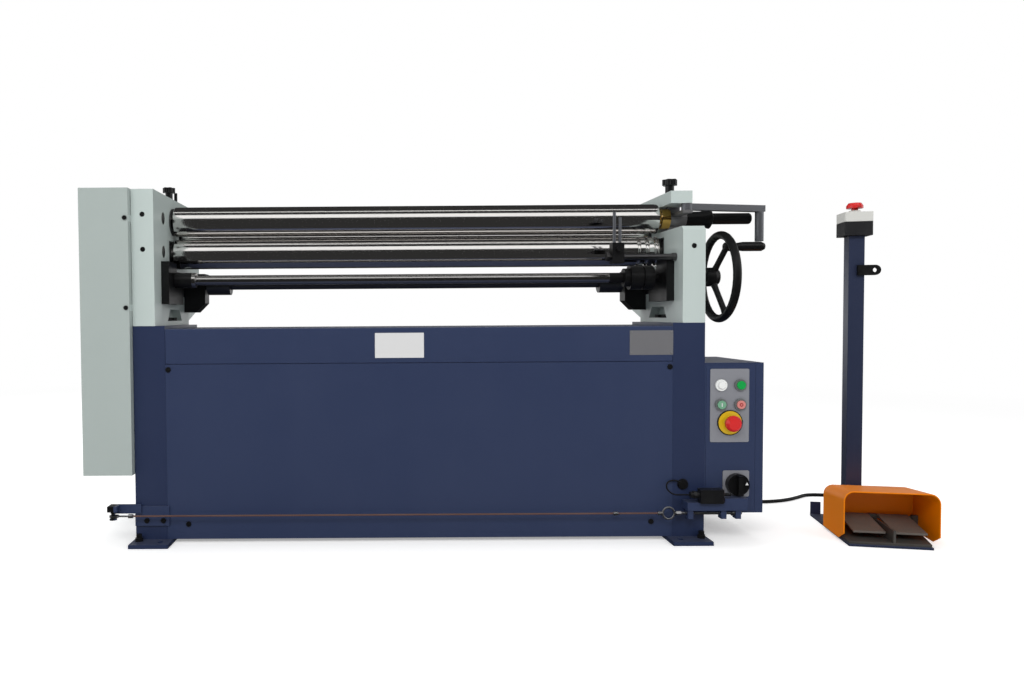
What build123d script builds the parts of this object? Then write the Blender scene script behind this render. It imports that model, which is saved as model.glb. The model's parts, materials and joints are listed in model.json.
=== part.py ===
from build123d import *
import os
from math import cos, pi, radians, sin, sqrt, tan

# Motorised plate rolling machine (slip roll) on a sheet-metal cabinet, with its control box,
# its safety pull wire, and the foot-switch pedestal that stands beside it on a cable.
# Millimetres. +X runs along the rolls to the handwheel, +Y to the back, +Z up.
# The origin is on the floor, in the middle of the four floor anchor holes.

# Clearances
clear = 0.3  # between pieces of different bodies
fit = 0.05  # radial clearance of a running fit

# Rolls: three rolls of one size, two of them driven
roll_length = 1300
roll_r = 40
roll_nip = 7.2
roll_chamfer = 1.5
roll_setback = 175  # from the housings' front to the driven rolls' axis
housing_seat_z = 548  # the housings' feet on the bed beam; the heights above follow it
upper_roll_rise = 279
upper_roll_z = housing_seat_z + upper_roll_rise
rear_roll_setback = 267
rear_roll_rise = 222
rear_roll_z = housing_seat_z + rear_roll_rise
journal_r = 22
rear_journal_r = 16
wire_groove_radii = (6.5, 5.5, 4.5)
wire_groove_insets = (9, 33, 55)  # from the lower roll's right end

# Side housings: cast plates that carry the rolls
housing_t = 56
housing_gap = 10  # from a roll's end to the housing's inner face
housing_depth = 330
housing_h = 342
housing_top_z = housing_seat_z + housing_h
housing_toe_h = 12
rear_reach = 130
rear_rise = 50
rear_corner_y = 60
rear_corner_z = 50
arm_setback = 87
arm_h = 32
throat_floor_drop = 37  # below the upper roll's axis
throat_floor_z = upper_roll_z - throat_floor_drop
throat_depth = 230
throat_bevel = 10
stud_hole_r = 6.5
stud_hole_depth = 22
side_recess_r = 16
side_recess_depth = 10
side_recess_y = -78
side_recess_drops = (0, 87)  # below the upper roll's axis
side_recess_z = tuple(upper_roll_z - drop for drop in side_recess_drops)
foot_pocket_depth = 24
foot_pocket_h = 30
foot_pocket_shares = (0.35, 0.77, 0.70, 0.42)  # along the depth: floor ends, then roof ends
housing_bolt_r = 7
housing_bolt_head_r = 11
housing_bolt_head_h = 9
housing_bolt_length = 40
housing_bolt_shares = (0.47, 0.63)  # along the depth

# Cabinet
column_w = 80
column_wall = 5
column_top_t = 10
foot_t = 10
foot_w = 98
foot_reach = 52
foot_inset = 14  # from the foot's inner edge to the column's inner face
anchor_r = 7
anchor_edge = 26
level_bolt_r = 7
level_bolt_head_r = 10
level_bolt_head_h = 9
level_bolt_edge = 17
bed_h = 88
bed_drop = 8
bed_wall = 5
sheet_t = 2.5
sheet_flange = 22
sheet_bottom_z = 10
sheet_joint = 0.8
sheet_bolt_r = 4
sheet_bolt_head_r = 7
sheet_bolt_head_h = 4
sheet_bolt_taper = 18
sheet_bolt_inset = (7, 53)  # from the sheet's ends
sheet_bolt_z = (438, 48)

# Gear cover on the left, screwed to lugs of the housing
cover_w = 122
cover_front_reach = 22
cover_depth = 352
cover_drop = 714  # from the housing's top
cover_bottom_z = housing_top_z - cover_drop
cover_wall = 2.5
lug = 16
lug_back = 40
cover_screw_r = 3
cover_screw_head_r = 5.5
cover_screw_head_h = 3.5
cover_screw_drop = (74, 296)  # below the cover's top

# Drive of the upper roll: a socket in the left housing turns the roll's ball end
ball_r = 21
neck_r = 14
neck_start = 14  # length of the full journal beside the roll
sleeve_r = 32
sleeve_flange_r = 36
sleeve_flange_t = 2.7
sleeve_stub = 18
socket_lip = 3
socket_end_t = 4
drive_hub_r = 24
cross_pin_r = 4
cross_pin_reach = 27
pin_slot_w = 9
pin_slot_l = 20
swing_range = 3.3  # degrees that the upper roll's free end swings forward

# Gears and chain
gear_teeth = 11
gear_w = 24
gear_tip_r = 50.2
gear_root_r = 29.8
tooth_root_share = 0.25
tooth_tip_share = 0.09
gear_boss_r = 28
gear_boss_l = 12
chain_pitch = 25.4
chain_rows = 21  # pitches between the two shafts
sprocket_teeth = 10
sprocket_w = 16
sprocket_root_share = 0.19
sprocket_tip_share = 0.07
sprocket_tooth_h = 4.7
roller_r = 7.6
roller_sides = 8
roller_skip = 2  # pitches without a roller at either end of a straight run
link_h = 19
link_t = 3
motor_shaft_r = 17

# Gearmotor inside the cabinet, on a shelf of the left column
gearbox_l = 120
gearbox_w = 150
gearbox_h = 160
gearbox_chamfer = 14
gearbox_flange_r = 62
gearbox_flange_t = 12
motor_r = 72
motor_l = 250
motor_rim = 6
motor_cowl_l = 55
terminal_box = 70
terminal_box_h = 40
shelf_t = 8
shelf_web_h = 60

# Bearing blocks of the lower and rear rolls, which slide in slots of the housings
block_w = 74
block_half_h = 29
block_ring_r = 35
block_ring_t = 2.7
rear_block_w = 60
rear_block_half_h = 26
rear_block_ring_r = 28
lower_lift_range = 5
rear_lift_up = 20
rear_lift_down = 30
lift_screw_r = 9
lower_screw_length = 62
rear_screw_length = 96

# Worm boxes and cross shafts under the rolls
worm_r = 16
worm_root_share = 0.72  # of the worm's radius
worm_length = 36
worm_turns = 4
worm_flank_shares = (0.2, 0.4, 0.6, 0.8)  # along one turn
wheel_r = 23.8
wheel_t = 22
wheel_hub_r = 14
wheel_hub_h = 52
front_shaft_y = -45
front_shaft_rise = 119  # above the housings' seat
front_shaft_z = housing_seat_z + front_shaft_rise
rear_shaft_y = 142
rear_shaft_rise = 112  # above the housings' seat
rear_shaft_z = housing_seat_z + rear_shaft_rise
box_skin = 4  # of the housing, outside a worm box
box_half_h = 33
box_side = 14
front_plate_t = 20
front_plate_front = 30
front_plate_drop = 30
front_plate_step_y = 45
front_plate_low_step = 10
front_plate_top_step = 14
rear_box_reach = 60
rear_box_w = 50
rear_box_drop = 44
rear_gusset = 26
shaft_r = 13
shaft_journal_r = 9
handwheel_shaft_r = 11
shaft_end_gap = 2
left_sleeve_r = 20
left_sleeve_l = 56
clutch_inset = 38  # from the housing's inner face to the clutch
clutch_l = 76
clutch_r = 32
clutch_neck_r = 24
clutch_groove_r = 28
clutch_shares = (0.2, 0.6, 0.67)  # neck end, groove start, groove end
clutch_screws = 4
clutch_screw_r = 3
clutch_screw_h = 2
clutch_screw_circle_r = 20
rear_shaft_r = 12
rear_journal_end_r = 11
coupling_r = 27
coupling_l = 66
coupling_gap = 4
square_end = 16
square_reach = 26
square_gap = 6

# Upper roll's right bearing and its lift handle
bush_gap = 11  # from the roll's end
bush_r = 27
bush_w = 22
bush_bore_r = 17
nose_r = 19.5
nose_reach = 13
block_back = 50
collar_r = 20
collar_l = 41
flare_r = 27
flare_l = 24
taper_l = 8
handle_r = 15
handle_l = 105
handle_end_fillet = 7

# Lock lever under the right arm
lever_t = 17
lever_w = 20
lever_angle = 12
lever_pivot_inset = 10  # from the housing's outer face
lever_pivot_front = 99  # from the housings' front
lever_reach = 226
lever_root_r = 14
lever_pin_r = 6
lever_rod_r = 11
lever_rod_drop = 78
lever_seat_t = 8
lever_seat_w = 26

# Star knobs on top, and the oil cup beside the left one
knob_lobes = 6
knob_r = 20
knob_core_r = 16
knob_lobe_r = 5.5
knob_h = 16
knob_neck_r = 11.5
knob_neck_h = 27
left_knob_share = 0.85
left_knob_x = -680
left_knob_y = 50
knob_screw_r = 6
oil_cup_r = 4.5
oil_cup_h = 28
oil_cup_inset = 12  # from the housing's inner face
oil_cup_back = 38  # behind the left knob

# Handwheel
rim_r = 110
rim_tube_r = 10
rim_sides = 8
wheel_gap = 84  # from the housing's outer face to the rim's plane
wheel_dish = 21  # from the rim's plane back to the hub's middle
spokes = 3
spoke_r = 7.5
hub_r = 25
hub_l = 36
hub_bore_depth = 30
grip_r = 12
grip_neck_r = 8
grip_l = 80
grip_shares = (0.3, 0.9)  # where the grip reaches and leaves its full radius
grip_boss_r = 12
grip_boss_l = 12
grip_pin_r = 5
grip_circle_r = 93
grip_angle = 126  # of the grip and of the first spoke, from the back upwards

# Side guide in front of the lower roll
guide_y = -116
guide_rise = 168  # above the housings' seat
guide_z = housing_seat_z + guide_rise
guide_bar_r = 8
guide_bar_l = 178
guide_seat_r = 10
guide_seat_l = 10
guide_nut_r = 12
guide_nut_l = 8
guide_block_l = 30
guide_block_w = 30
guide_block_down = 16
guide_block_up = 36
guide_block_gap = 12  # from the bar's free end
guide_pin_r = 4
guide_pin_rises = (114, 101)  # above the bar's axis
guide_pin_tops = tuple(guide_z + rise for rise in guide_pin_rises)
guide_pin_shares = (0.28, 0.76)
guide_screw_r = 7
guide_screw_l = 14

# Control box
box_w = 147
box_bottom_z = 69
box_h = 378
box_depth = 285
box_wall = 2.5
box_left_rim = 3
box_right_rim = 20
box_rim = 3
box_cover_gap = 0.5
panel_inset = 13
panel_rise = 178.5
panel_w = 97.5
panel_h = 184.5
panel_t = 1.5
panel_corner = 4
button_columns = (39, 87.2)  # from the box's left side
button_rows = (322.3, 273.4)  # above the box's bottom
bezel_r = 14.5
bezel_h = 5.5
bezel_barrel_r = 11
bezel_barrel_l = 26
bezel_recess = 4
cap_r = 10.5
cap_proud = 4
cap_stem_r = 8
cap_stem_l = 20
button_travel = 3
lamp_dome = 5
lamp_taper = 25
stop_column = 62.1
stop_row = 227.8
stop_ring_r = 30
stop_ring_t = 3
stop_collar_r = 14
stop_collar_h = 9
stop_gap = 6
stop_head_r = 20
stop_head_h = 7
stop_dome_h = 7
stop_dome_taper = 35
stop_stem_l = 35
stop_travel = 4
switch_column = 78.5
switch_row = 74
switch_plate = 66
switch_plate_t = 3
switch_knob_r = 27
switch_knob_h = 16
switch_grip_w = 12
switch_grip_h = 14
switch_grip_l = 49
switch_spindle_r = 5
switch_spindle_l = 30

# Pull wire across the front, its brackets and the switch that it works
wire_r = 2.2
wire_y = -190
wire_z = 75
wire_travel = 5
wire_arm_reach = 60
wire_arm_h = 23
wire_arm_t = 6
wire_plate_w = 86
wire_plate_h = 50
wire_plate_t = 5
wire_plate_z = 45
wire_arm_z = 78
wire_tongue_w = 24
wire_tongue_reach = 30
wire_tongue_h = 14
wire_bolt_shares = (0.35, 0.83)  # along the plate
wire_bolt_rise = 14
wire_arm_lap_share = 0.2  # of the plate's width, where the arm joins it
eye_post_r = 5
eye_post_drop = 18
eye_head_r = 9
eye_head_h = 3
loop_wall = 4
loop_t = 5
crimp_r = 5
crimp_l = 11
crimp_places = (-726, 481, 591)
ring_r = 14.5
ring_tube_r = 2.5
ring_sides = 6
ring_x = 618
ring_nut_x = 636
ring_nut_r = 6
ring_nut_l = 12
pull_rod_r = 4
pull_collar_r = 7
pull_collar_l = 7
shelf_x = 660
shelf_l = 148
shelf_z = 84
shelf_h = 20
shelf_depth = 40
shelf_lug_offsets = (3, 85, 121)
shelf_lug_t = 13
shelf_lug_h = 22
shelf_lug_depth = 20
ledge_l = 56
ledge_h = 10
ledge_back = 5
switch_body_x = 688
switch_body_l = 58
switch_body_h = 34
switch_body_w = 28
switch_body_y = -204
switch_body_fillet = 4
plunger_r = 4
plunger_l = 20
lead_gland_r = 8
lead_gland_nut_r = 10
lead_gland_l = 22
lead_gland_share = 0.33  # along the gland, the nut's start and its length
lead_gland_z = 124
lead_r = 1.9
grommet_x = 662
grommet_z = 142
grommet_r = 14
grommet_h = 7

# Pedestal with the foot switch and the emergency stop, in a frame of its own
pedestal_x = 1167.7
pedestal_y = -98.5
pedestal_turn = -12
pedestal_w = 185
pedestal_d = 300
pedestal_t = 6
tab_w = 26
tab_h = 34
tab_t = 5
post_w = 38
post_wall = 3
post_x = -16
post_y = 68
post_top_z = 773
stop_box_w = 68
stop_box_h = 62
stop_box_fillet = 4
post_collar_h = 6
hook_z = 682
hook_h = 27
hook_t = 10
hook_reach = 36
hook_hole_r = 6
guard_w = 236
guard_h = 122
guard_d = 150
guard_front = -128
guard_wall = 3
guard_corner = 26
guard_foot_cut = 12
pedal_base_t = 12
pedal_base_front = -118
pedal_rib_w = 6
pedal_rib_h = 24
pedal_w = 90
pedal_gap = 10  # from the middle to a pedal
pedal_l = 104
pedal_t = 5
pedal_slope = 12
hinge_y = -6
hinge_z = 44
hinge_r = 6
hinge_pin_r = 3
pedal_cup_r = 9
pedal_cup_h = 5
pedal_cup_share = 0.55
pedal_range = 7

# Control cable: it lies on the floor behind the machine, partly wound into a coil
cable_r = 5
bend_share = 0.45  # of the shorter run at a bend
gland_r = 11
gland_l = 25
gland_nut_r = 13
gland_nut_l = 8
box_gland_inset = 83.7
box_gland_z = 110
pedal_gland_x = 40
pedal_gland_z = 32
coil_x = 560
coil_y = 376
coil_z = 5.2
coil_outer_r = 66
coil_pitch = 10.6
coil_layer = 10.5
coil_half_turns = 4  # in each layer
coil_stub = 10
coil_sample = 4  # spacing of the points that the gap between turns is measured on
from_box = [(0, 48, 0), (-3, 93, -48), (-10, 148, -104.8), (-55, 217, -104.8)]
to_coil = [(120, 10, 0), (56, 0, 0)]
from_coil = [
    (42, 0, 0),
    (95, 0.5, -7.7),
    (155, 2, -10.5),
    (230, 8, -10.5),
    (315, -6, -10.5),
    (400, -30, -10.5),
    (480, -36, -10.5),
]
to_pedal = [
    (-96.6, 286.8, -26.8),
    (-36.6, 326.8, -26.8),
    (5.4, 360.8, -26.8),
    (73.4, 350.8, -26.8),
    (97.4, 288.8, -26.8),
    (79.4, 225.8, -26.8),
    (49.4, 168.8, -26.8),
    (30.4, 110.8, -14),
]
pedal_lead = 54  # straight run out of the pedal's gland
lead_bends = [
    (648, -204, 124),
    (626.5, -203.5, 123.5),
    (613.4, -192.8, 133.2),
    (615.5, -178.4, 146.3),
    (631.3, -170, 154),
    (650.3, -172.9, 151.3),
]

# Worked-out places
front_y = -housing_depth / 2
back_y = housing_depth / 2
roll_y = front_y + roll_setback
rear_roll_y = front_y + rear_roll_setback
lower_roll_z = upper_roll_z - 2 * roll_r - roll_nip
half_roll = roll_length / 2
inner_x = half_roll + housing_gap
outer_x = inner_x + housing_t
bearing_x = inner_x + housing_t / 2
column_in_x = outer_x - column_w
bed_z = housing_seat_z - bed_drop
bed_bottom_z = bed_z - bed_h
throat_roof_z = housing_top_z - arm_h
lift_screw_y = front_shaft_y + worm_r + wheel_r + fit
rear_screw_y = rear_shaft_y - worm_r - wheel_r - fit
gear_x = outer_x + sleeve_stub
sprocket_x = gear_x + gear_w + gear_boss_l
chain_x = sprocket_x + sprocket_w / 2
drive_end_x = sprocket_x + sprocket_w
motor_z = upper_roll_z - chain_rows * chain_pitch
sprocket_pitch_r = chain_pitch / 2 / sin(pi / sprocket_teeth)
wheel_x = outer_x + wheel_gap
box_x = outer_x + clear
box_right_x = box_x + box_w
box_back_y = front_y + box_depth
panel_face_y = front_y - panel_t
sheet_end_x = column_in_x - clear
cover_x = -outer_x - clear
nose_end_x = outer_x + nose_reach


# Helpers: planes square to X, Y and Z, and the plain shapes cut or built on them
def across(x):
    return Plane.YZ.offset(x)


def facing(y):
    return Plane.XZ.offset(-y)


def level(z):
    return Plane.XY.offset(z)


def rod(plane, place, radius, length, mode=Mode.ADD):
    with BuildSketch(plane) as face:
        with Locations(place):
            Circle(radius)
    extrude(face.sketch, amount=length, mode=mode)


def stud(plane, place, radius, length, sides=6):
    with BuildSketch(plane) as face:
        with Locations(place):
            RegularPolygon(radius, sides)
    extrude(face.sketch, amount=length)


def prism(plane, points, length, mode=Mode.ADD):
    with BuildSketch(plane) as face:
        with BuildLine():
            Polyline(points, close=True)
        make_face()
    extrude(face.sketch, amount=length, mode=mode)


def block(low, high, mode=Mode.ADD):
    with BuildSketch(level(low[2])) as face:
        with Locations((low[0], low[1])):
            Rectangle(high[0] - low[0], high[1] - low[1], align=(Align.MIN, Align.MIN))
    extrude(face.sketch, amount=high[2] - low[2], mode=mode)


def turned(axis_y, axis_z, points, mode=Mode.ADD):
    # Turned about an axis along X, from (x, radius) points
    with BuildSketch(level(axis_z)) as face:
        with BuildLine():
            Polyline([(x, axis_y + r) for x, r in points], close=True)
        make_face()
    revolve(face.sketch, axis=Axis((0, axis_y, axis_z), (1, 0, 0)), mode=mode)


def save(piece, name):
    piece.part.label = name
    export_step(piece.part, f"parts/{name}.step")


os.makedirs("parts", exist_ok=True)


# Places that several pieces share
def housing_bolt_places():
    x = inner_x + foot_pocket_depth / 2
    return [(x, front_y + share * housing_depth) for share in housing_bolt_shares]


def box_sides(shaft_y, screw_y):
    low = min(shaft_y - worm_r, screw_y - wheel_r) - box_side
    high = max(shaft_y + worm_r, screw_y + wheel_r) + box_side
    return low, high


def foot_holes():
    foot_in_x = column_in_x - foot_inset
    anchor_x = foot_in_x + anchor_edge
    anchor_y = back_y + foot_reach - anchor_edge
    level_x = foot_in_x + foot_w - level_bolt_edge
    level_y = back_y + level_bolt_edge
    anchors = [(anchor_x, -anchor_y), (anchor_x, anchor_y)]
    levels = [(level_x, -level_y), (level_x, level_y)]
    return anchors, levels


def sheet_bolt_places():
    return [(sheet_end_x - inset, z) for inset, z in zip(sheet_bolt_inset, sheet_bolt_z)]


def cover_screw_places():
    return [(cover_x - lug / 2, housing_top_z - drop) for drop in cover_screw_drop]


def wire_bolt_places():
    left = -outer_x
    z = wire_plate_z + wire_bolt_rise
    return [(left + share * wire_plate_w, z) for share in wire_bolt_shares]


def button_places():
    # Jog, start and stop; the lamp has the fourth place
    low, high = button_rows[1] + box_bottom_z, button_rows[0] + box_bottom_z
    left, right = button_columns[0] + box_x, button_columns[1] + box_x
    return [(right, high), (left, low), (right, low)], (left, high)


def stop_place():
    return (box_x + stop_column, box_bottom_z + stop_row)


def switch_place():
    return (box_x + switch_column, box_bottom_z + switch_row)


def grip_place():
    angle = radians(grip_angle)
    return (front_shaft_y + grip_circle_r * cos(angle), front_shaft_z + grip_circle_r * sin(angle))


def pedestal_location():
    return Location((pedestal_x, pedestal_y, 0), (0, 0, pedestal_turn))


# Side housings
def slot(axis_y, low_z, high_z, width):
    low = (inner_x, axis_y - width / 2, low_z)
    high = (outer_x, axis_y + width / 2, high_z)
    block(low, high, Mode.SUBTRACT)


def box_pocket(shaft_y, screw_y, shaft_z):
    low_y, high_y = box_sides(shaft_y, screw_y)
    low = (inner_x, low_y - clear, shaft_z - box_half_h - clear)
    high = (outer_x - box_skin, high_y + clear, shaft_z + box_half_h + clear)
    block(low, high, Mode.SUBTRACT)


def screw_hole(screw_y, roll_z, half_h, length, down):
    low = roll_z - half_h - length - down - 2 * clear
    place = (bearing_x, screw_y)
    rod(level(low), place, lift_screw_r + 2 * clear, roll_z - low, Mode.SUBTRACT)


def housing_body():
    # Shape of the right plate; the left one is its mirror image without the throat
    outline = [
        (front_y, housing_seat_z),
        (back_y, housing_seat_z),
        (back_y, housing_seat_z + housing_toe_h),
        (back_y + rear_reach, housing_seat_z + rear_rise),
        (back_y + rear_reach, housing_top_z - rear_corner_z),
        (back_y + rear_reach - rear_corner_y, housing_top_z),
        (front_y, housing_top_z),
    ]
    prism(across(inner_x), outline, housing_t)
    travel = lower_lift_range + clear
    low, high = lower_roll_z - block_half_h - travel, lower_roll_z + block_half_h + travel
    slot(roll_y, low, high, block_w + 2 * clear)
    low = rear_roll_z - rear_block_half_h - rear_lift_down - clear
    high = rear_roll_z + rear_block_half_h + rear_lift_up + clear
    slot(rear_roll_y, low, high, rear_block_w + 2 * clear)
    box_pocket(front_shaft_y, lift_screw_y, front_shaft_z)
    box_pocket(rear_shaft_y, rear_screw_y, rear_shaft_z)
    screw_hole(lift_screw_y, lower_roll_z, block_half_h, lower_screw_length, lower_lift_range)
    screw_hole(rear_screw_y, rear_roll_z, rear_block_half_h, rear_screw_length, rear_lift_down)
    place = (bearing_x, lower_roll_z)
    rod(facing(front_y), place, stud_hole_r, -stud_hole_depth, Mode.SUBTRACT)
    floor_z = housing_seat_z + housing_toe_h
    roof_z = floor_z + foot_pocket_h
    y0, y1, y2, y3 = [front_y + share * housing_depth for share in foot_pocket_shares]
    points = [(y0, floor_z), (y1, floor_z), (y2, roof_z), (y3, roof_z)]
    prism(across(inner_x), points, foot_pocket_depth, Mode.SUBTRACT)
    for place in housing_bolt_places():
        rod(level(housing_seat_z), place, housing_bolt_r + clear, housing_toe_h, Mode.SUBTRACT)


def make_left_housing():
    with BuildPart() as left_housing:
        housing_body()
        centre = (roll_y, upper_roll_z)
        rod(across(inner_x), centre, sleeve_r + fit, housing_t, Mode.SUBTRACT)
        place = (bearing_x, upper_roll_z)
        rod(facing(front_y), place, stud_hole_r, -stud_hole_depth, Mode.SUBTRACT)
        for z in side_recess_z:
            place = (side_recess_y, z)
            rod(across(inner_x), place, side_recess_r, side_recess_depth, Mode.SUBTRACT)
        place = (-left_knob_x, left_knob_y)
        hole_r = knob_screw_r + clear
        rod(level(housing_top_z), place, hole_r, -arm_h - clear, Mode.SUBTRACT)
        front = front_y - cover_front_reach + cover_wall + clear
        rear = front_y - cover_front_reach + cover_depth - cover_wall - clear
        for x, z in cover_screw_places():
            low, high = z - lug / 2, z + lug / 2
            block((outer_x, front, low), (outer_x + lug, front_y + lug_back, high))
            block((outer_x, back_y - lug_back, low), (outer_x + lug, rear, high))
            hole_r = cover_screw_r + clear
            rod(facing(front), (-x, z), hole_r, -lug, Mode.SUBTRACT)
            rod(facing(rear), (-x, z), hole_r, lug, Mode.SUBTRACT)
        mirror(about=Plane.YZ, mode=Mode.REPLACE)
    save(left_housing, "left_housing")


def make_right_housing():
    with BuildPart() as right_housing:
        housing_body()
        throat_back = front_y + throat_depth
        arm_front = front_y + arm_setback
        notch = [
            (front_y, throat_floor_z - throat_bevel),
            (front_y + throat_bevel, throat_floor_z),
            (throat_back, throat_floor_z),
            (throat_back, throat_roof_z),
            (arm_front, throat_roof_z),
            (arm_front, housing_top_z),
            (front_y, housing_top_z),
        ]
        prism(across(inner_x), notch, housing_t, Mode.SUBTRACT)
        place = (bearing_x, roll_y)
        rod(level(throat_roof_z), place, knob_screw_r + clear, arm_h, Mode.SUBTRACT)
        centre = (front_shaft_y, front_shaft_z)
        hole_r = handwheel_shaft_r + clear
        rod(across(inner_x), centre, hole_r, housing_t, Mode.SUBTRACT)
        centre = (rear_shaft_y, rear_shaft_z)
        hole_r = rear_journal_end_r + clear
        rod(across(inner_x), centre, hole_r, housing_t, Mode.SUBTRACT)
    save(right_housing, "right_housing")


# Cabinet
def make_columns():
    with BuildPart() as columns:
        block((column_in_x, front_y, foot_t), (outer_x, back_y, housing_seat_z))
        low = (column_in_x + column_wall, front_y + column_wall, foot_t)
        high = (outer_x - column_wall, back_y - column_wall, housing_seat_z - column_top_t)
        block(low, high, Mode.SUBTRACT)
        foot_in_x = column_in_x - foot_inset
        low = (foot_in_x, front_y - foot_reach, 0)
        block(low, (foot_in_x + foot_w, back_y + foot_reach, foot_t))
        anchors, levels = foot_holes()
        for place in anchors:
            rod(level(0), place, anchor_r, foot_t, Mode.SUBTRACT)
        for place in levels:
            rod(level(0), place, level_bolt_r + clear, foot_t, Mode.SUBTRACT)
        for place in housing_bolt_places():
            hole_r = housing_bolt_r + clear
            rod(level(housing_seat_z), place, hole_r, -column_top_t, Mode.SUBTRACT)
        mirror(about=Plane.YZ)
        centre = (roll_y, motor_z)
        rod(across(-outer_x), centre, motor_shaft_r + clear, column_w, Mode.SUBTRACT)
        shelf_top = motor_z - gearbox_h / 2
        low = (-column_in_x, roll_y - gearbox_w / 2, shelf_top - shelf_t)
        high = (-column_in_x + gearbox_flange_t + gearbox_l, roll_y + gearbox_w / 2, shelf_top)
        block(low, high)
        low = (-column_in_x, low[1], shelf_top - shelf_web_h)
        block(low, (-column_in_x + shelf_t, high[1], shelf_top))
    save(columns, "columns")


def make_bed_beam():
    with BuildPart() as bed_beam:
        block((-sheet_end_x, front_y, bed_bottom_z), (sheet_end_x, back_y, bed_z))
        low = (-sheet_end_x, front_y + bed_wall, bed_bottom_z)
        high = (sheet_end_x, back_y - bed_wall, bed_z - bed_wall)
        block(low, high, Mode.SUBTRACT)
    save(bed_beam, "bed_beam")


def make_cabinet_panels():
    # Pans of folded sheet that close the cabinet in front and behind
    top = bed_bottom_z - sheet_joint
    with BuildPart() as cabinet_panels:
        low = (-sheet_end_x, front_y, sheet_bottom_z)
        block(low, (sheet_end_x, front_y + sheet_flange, top))
        low = (-sheet_end_x + sheet_t, front_y + sheet_t, sheet_bottom_z + sheet_t)
        high = (sheet_end_x - sheet_t, front_y + sheet_flange, top - sheet_t)
        block(low, high, Mode.SUBTRACT)
        for x, z in sheet_bolt_places():
            for place in ((-x, z), (x, z)):
                rod(facing(front_y), place, sheet_bolt_r + clear, -sheet_t, Mode.SUBTRACT)
        mirror(about=Plane.XZ)
    save(cabinet_panels, "cabinet_panels")


def make_gear_cover():
    front = front_y - cover_front_reach
    rear = front + cover_depth
    left = cover_x - cover_w
    with BuildPart() as gear_cover:
        block((left, front, cover_bottom_z), (cover_x, rear, housing_top_z))
        low = (left + cover_wall, front + cover_wall, cover_bottom_z + cover_wall)
        high = (cover_x, rear - cover_wall, housing_top_z - cover_wall)
        block(low, high, Mode.SUBTRACT)
        for place in cover_screw_places():
            hole_r = cover_screw_r + clear
            rod(facing(front), place, hole_r, -cover_wall, Mode.SUBTRACT)
            rod(facing(rear), place, hole_r, cover_wall, Mode.SUBTRACT)
    save(gear_cover, "gear_cover")


def make_frame_hardware():
    # Every fastener that shows, and the oil cup on the left housing
    with BuildPart() as frame_hardware:
        floor_z = housing_seat_z + housing_toe_h
        for place in housing_bolt_places():
            stud(level(floor_z), place, housing_bolt_head_r, housing_bolt_head_h)
            rod(level(floor_z), place, housing_bolt_r, -housing_bolt_length)
        for place in foot_holes()[1]:
            rod(level(0), place, level_bolt_r, foot_t + 2 * level_bolt_head_h)
            stud(level(foot_t), place, level_bolt_head_r, level_bolt_head_h)
        for place in sheet_bolt_places():
            with BuildSketch(facing(front_y)) as head:
                with Locations(place):
                    Circle(sheet_bolt_head_r)
            extrude(head.sketch, amount=sheet_bolt_head_h, taper=sheet_bolt_taper)
            rod(facing(front_y), place, sheet_bolt_r, -sheet_flange / 2)
        mirror(about=Plane.YZ)
        with BuildSketch(facing(back_y)) as rear_heads:
            for x, z in sheet_bolt_places():
                with Locations((x, z), (-x, z)):
                    Circle(sheet_bolt_head_r)
        extrude(rear_heads.sketch, amount=-sheet_bolt_head_h, taper=sheet_bolt_taper)
        for x, z in sheet_bolt_places():
            for place in ((-x, z), (x, z)):
                rod(facing(back_y), place, sheet_bolt_r, sheet_flange / 2)
        front = front_y - cover_front_reach
        rear = front + cover_depth
        for place in cover_screw_places():
            rod(facing(front), place, cover_screw_head_r, cover_screw_head_h)
            rod(facing(front), place, cover_screw_r, -lug)
            rod(facing(rear), place, cover_screw_head_r, -cover_screw_head_h)
            rod(facing(rear), place, cover_screw_r, lug)
        for place in wire_bolt_places():
            face = front_y - wire_plate_t
            stud(facing(face), place, sheet_bolt_head_r, sheet_bolt_head_h)
        cup = (-inner_x - oil_cup_inset, left_knob_y + oil_cup_back)
        rod(level(housing_top_z), cup, oil_cup_r, oil_cup_h)
    save(frame_hardware, "frame_hardware")


# Rolls
def make_upper_roll():
    left_end = -bearing_x
    neck_x = -half_roll - neck_start
    bush_x = half_roll + bush_gap - clear
    with BuildPart() as upper_roll:
        points = [
            (left_end, 0),
            (left_end, neck_r),
            (neck_x, neck_r),
            (neck_x, journal_r),
            (-half_roll, journal_r),
            (-half_roll, roll_r - roll_chamfer),
            (-half_roll + roll_chamfer, roll_r),
            (half_roll - roll_chamfer, roll_r),
            (half_roll, roll_r - roll_chamfer),
            (half_roll, journal_r),
            (bush_x, journal_r),
            (bush_x, bush_bore_r - fit),
            (nose_end_x - clear, bush_bore_r - fit),
            (nose_end_x - clear, 0),
        ]
        turned(roll_y, upper_roll_z, points)
        with Locations((-bearing_x, roll_y, upper_roll_z)):
            Sphere(ball_r)
        pin_z = upper_roll_z - cross_pin_reach
        rod(level(pin_z), (-bearing_x, roll_y), cross_pin_r, 2 * cross_pin_reach)
    save(upper_roll, "upper_roll")


def plain_roll(axis_y, axis_z, left_end, right_end, neck):
    points = [
        (left_end, 0),
        (left_end, neck),
        (-half_roll, neck),
        (-half_roll, roll_r - roll_chamfer),
        (-half_roll + roll_chamfer, roll_r),
        (half_roll - roll_chamfer, roll_r),
        (half_roll, roll_r - roll_chamfer),
        (half_roll, neck),
        (right_end, neck),
        (right_end, 0),
    ]
    turned(axis_y, axis_z, points)


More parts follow.
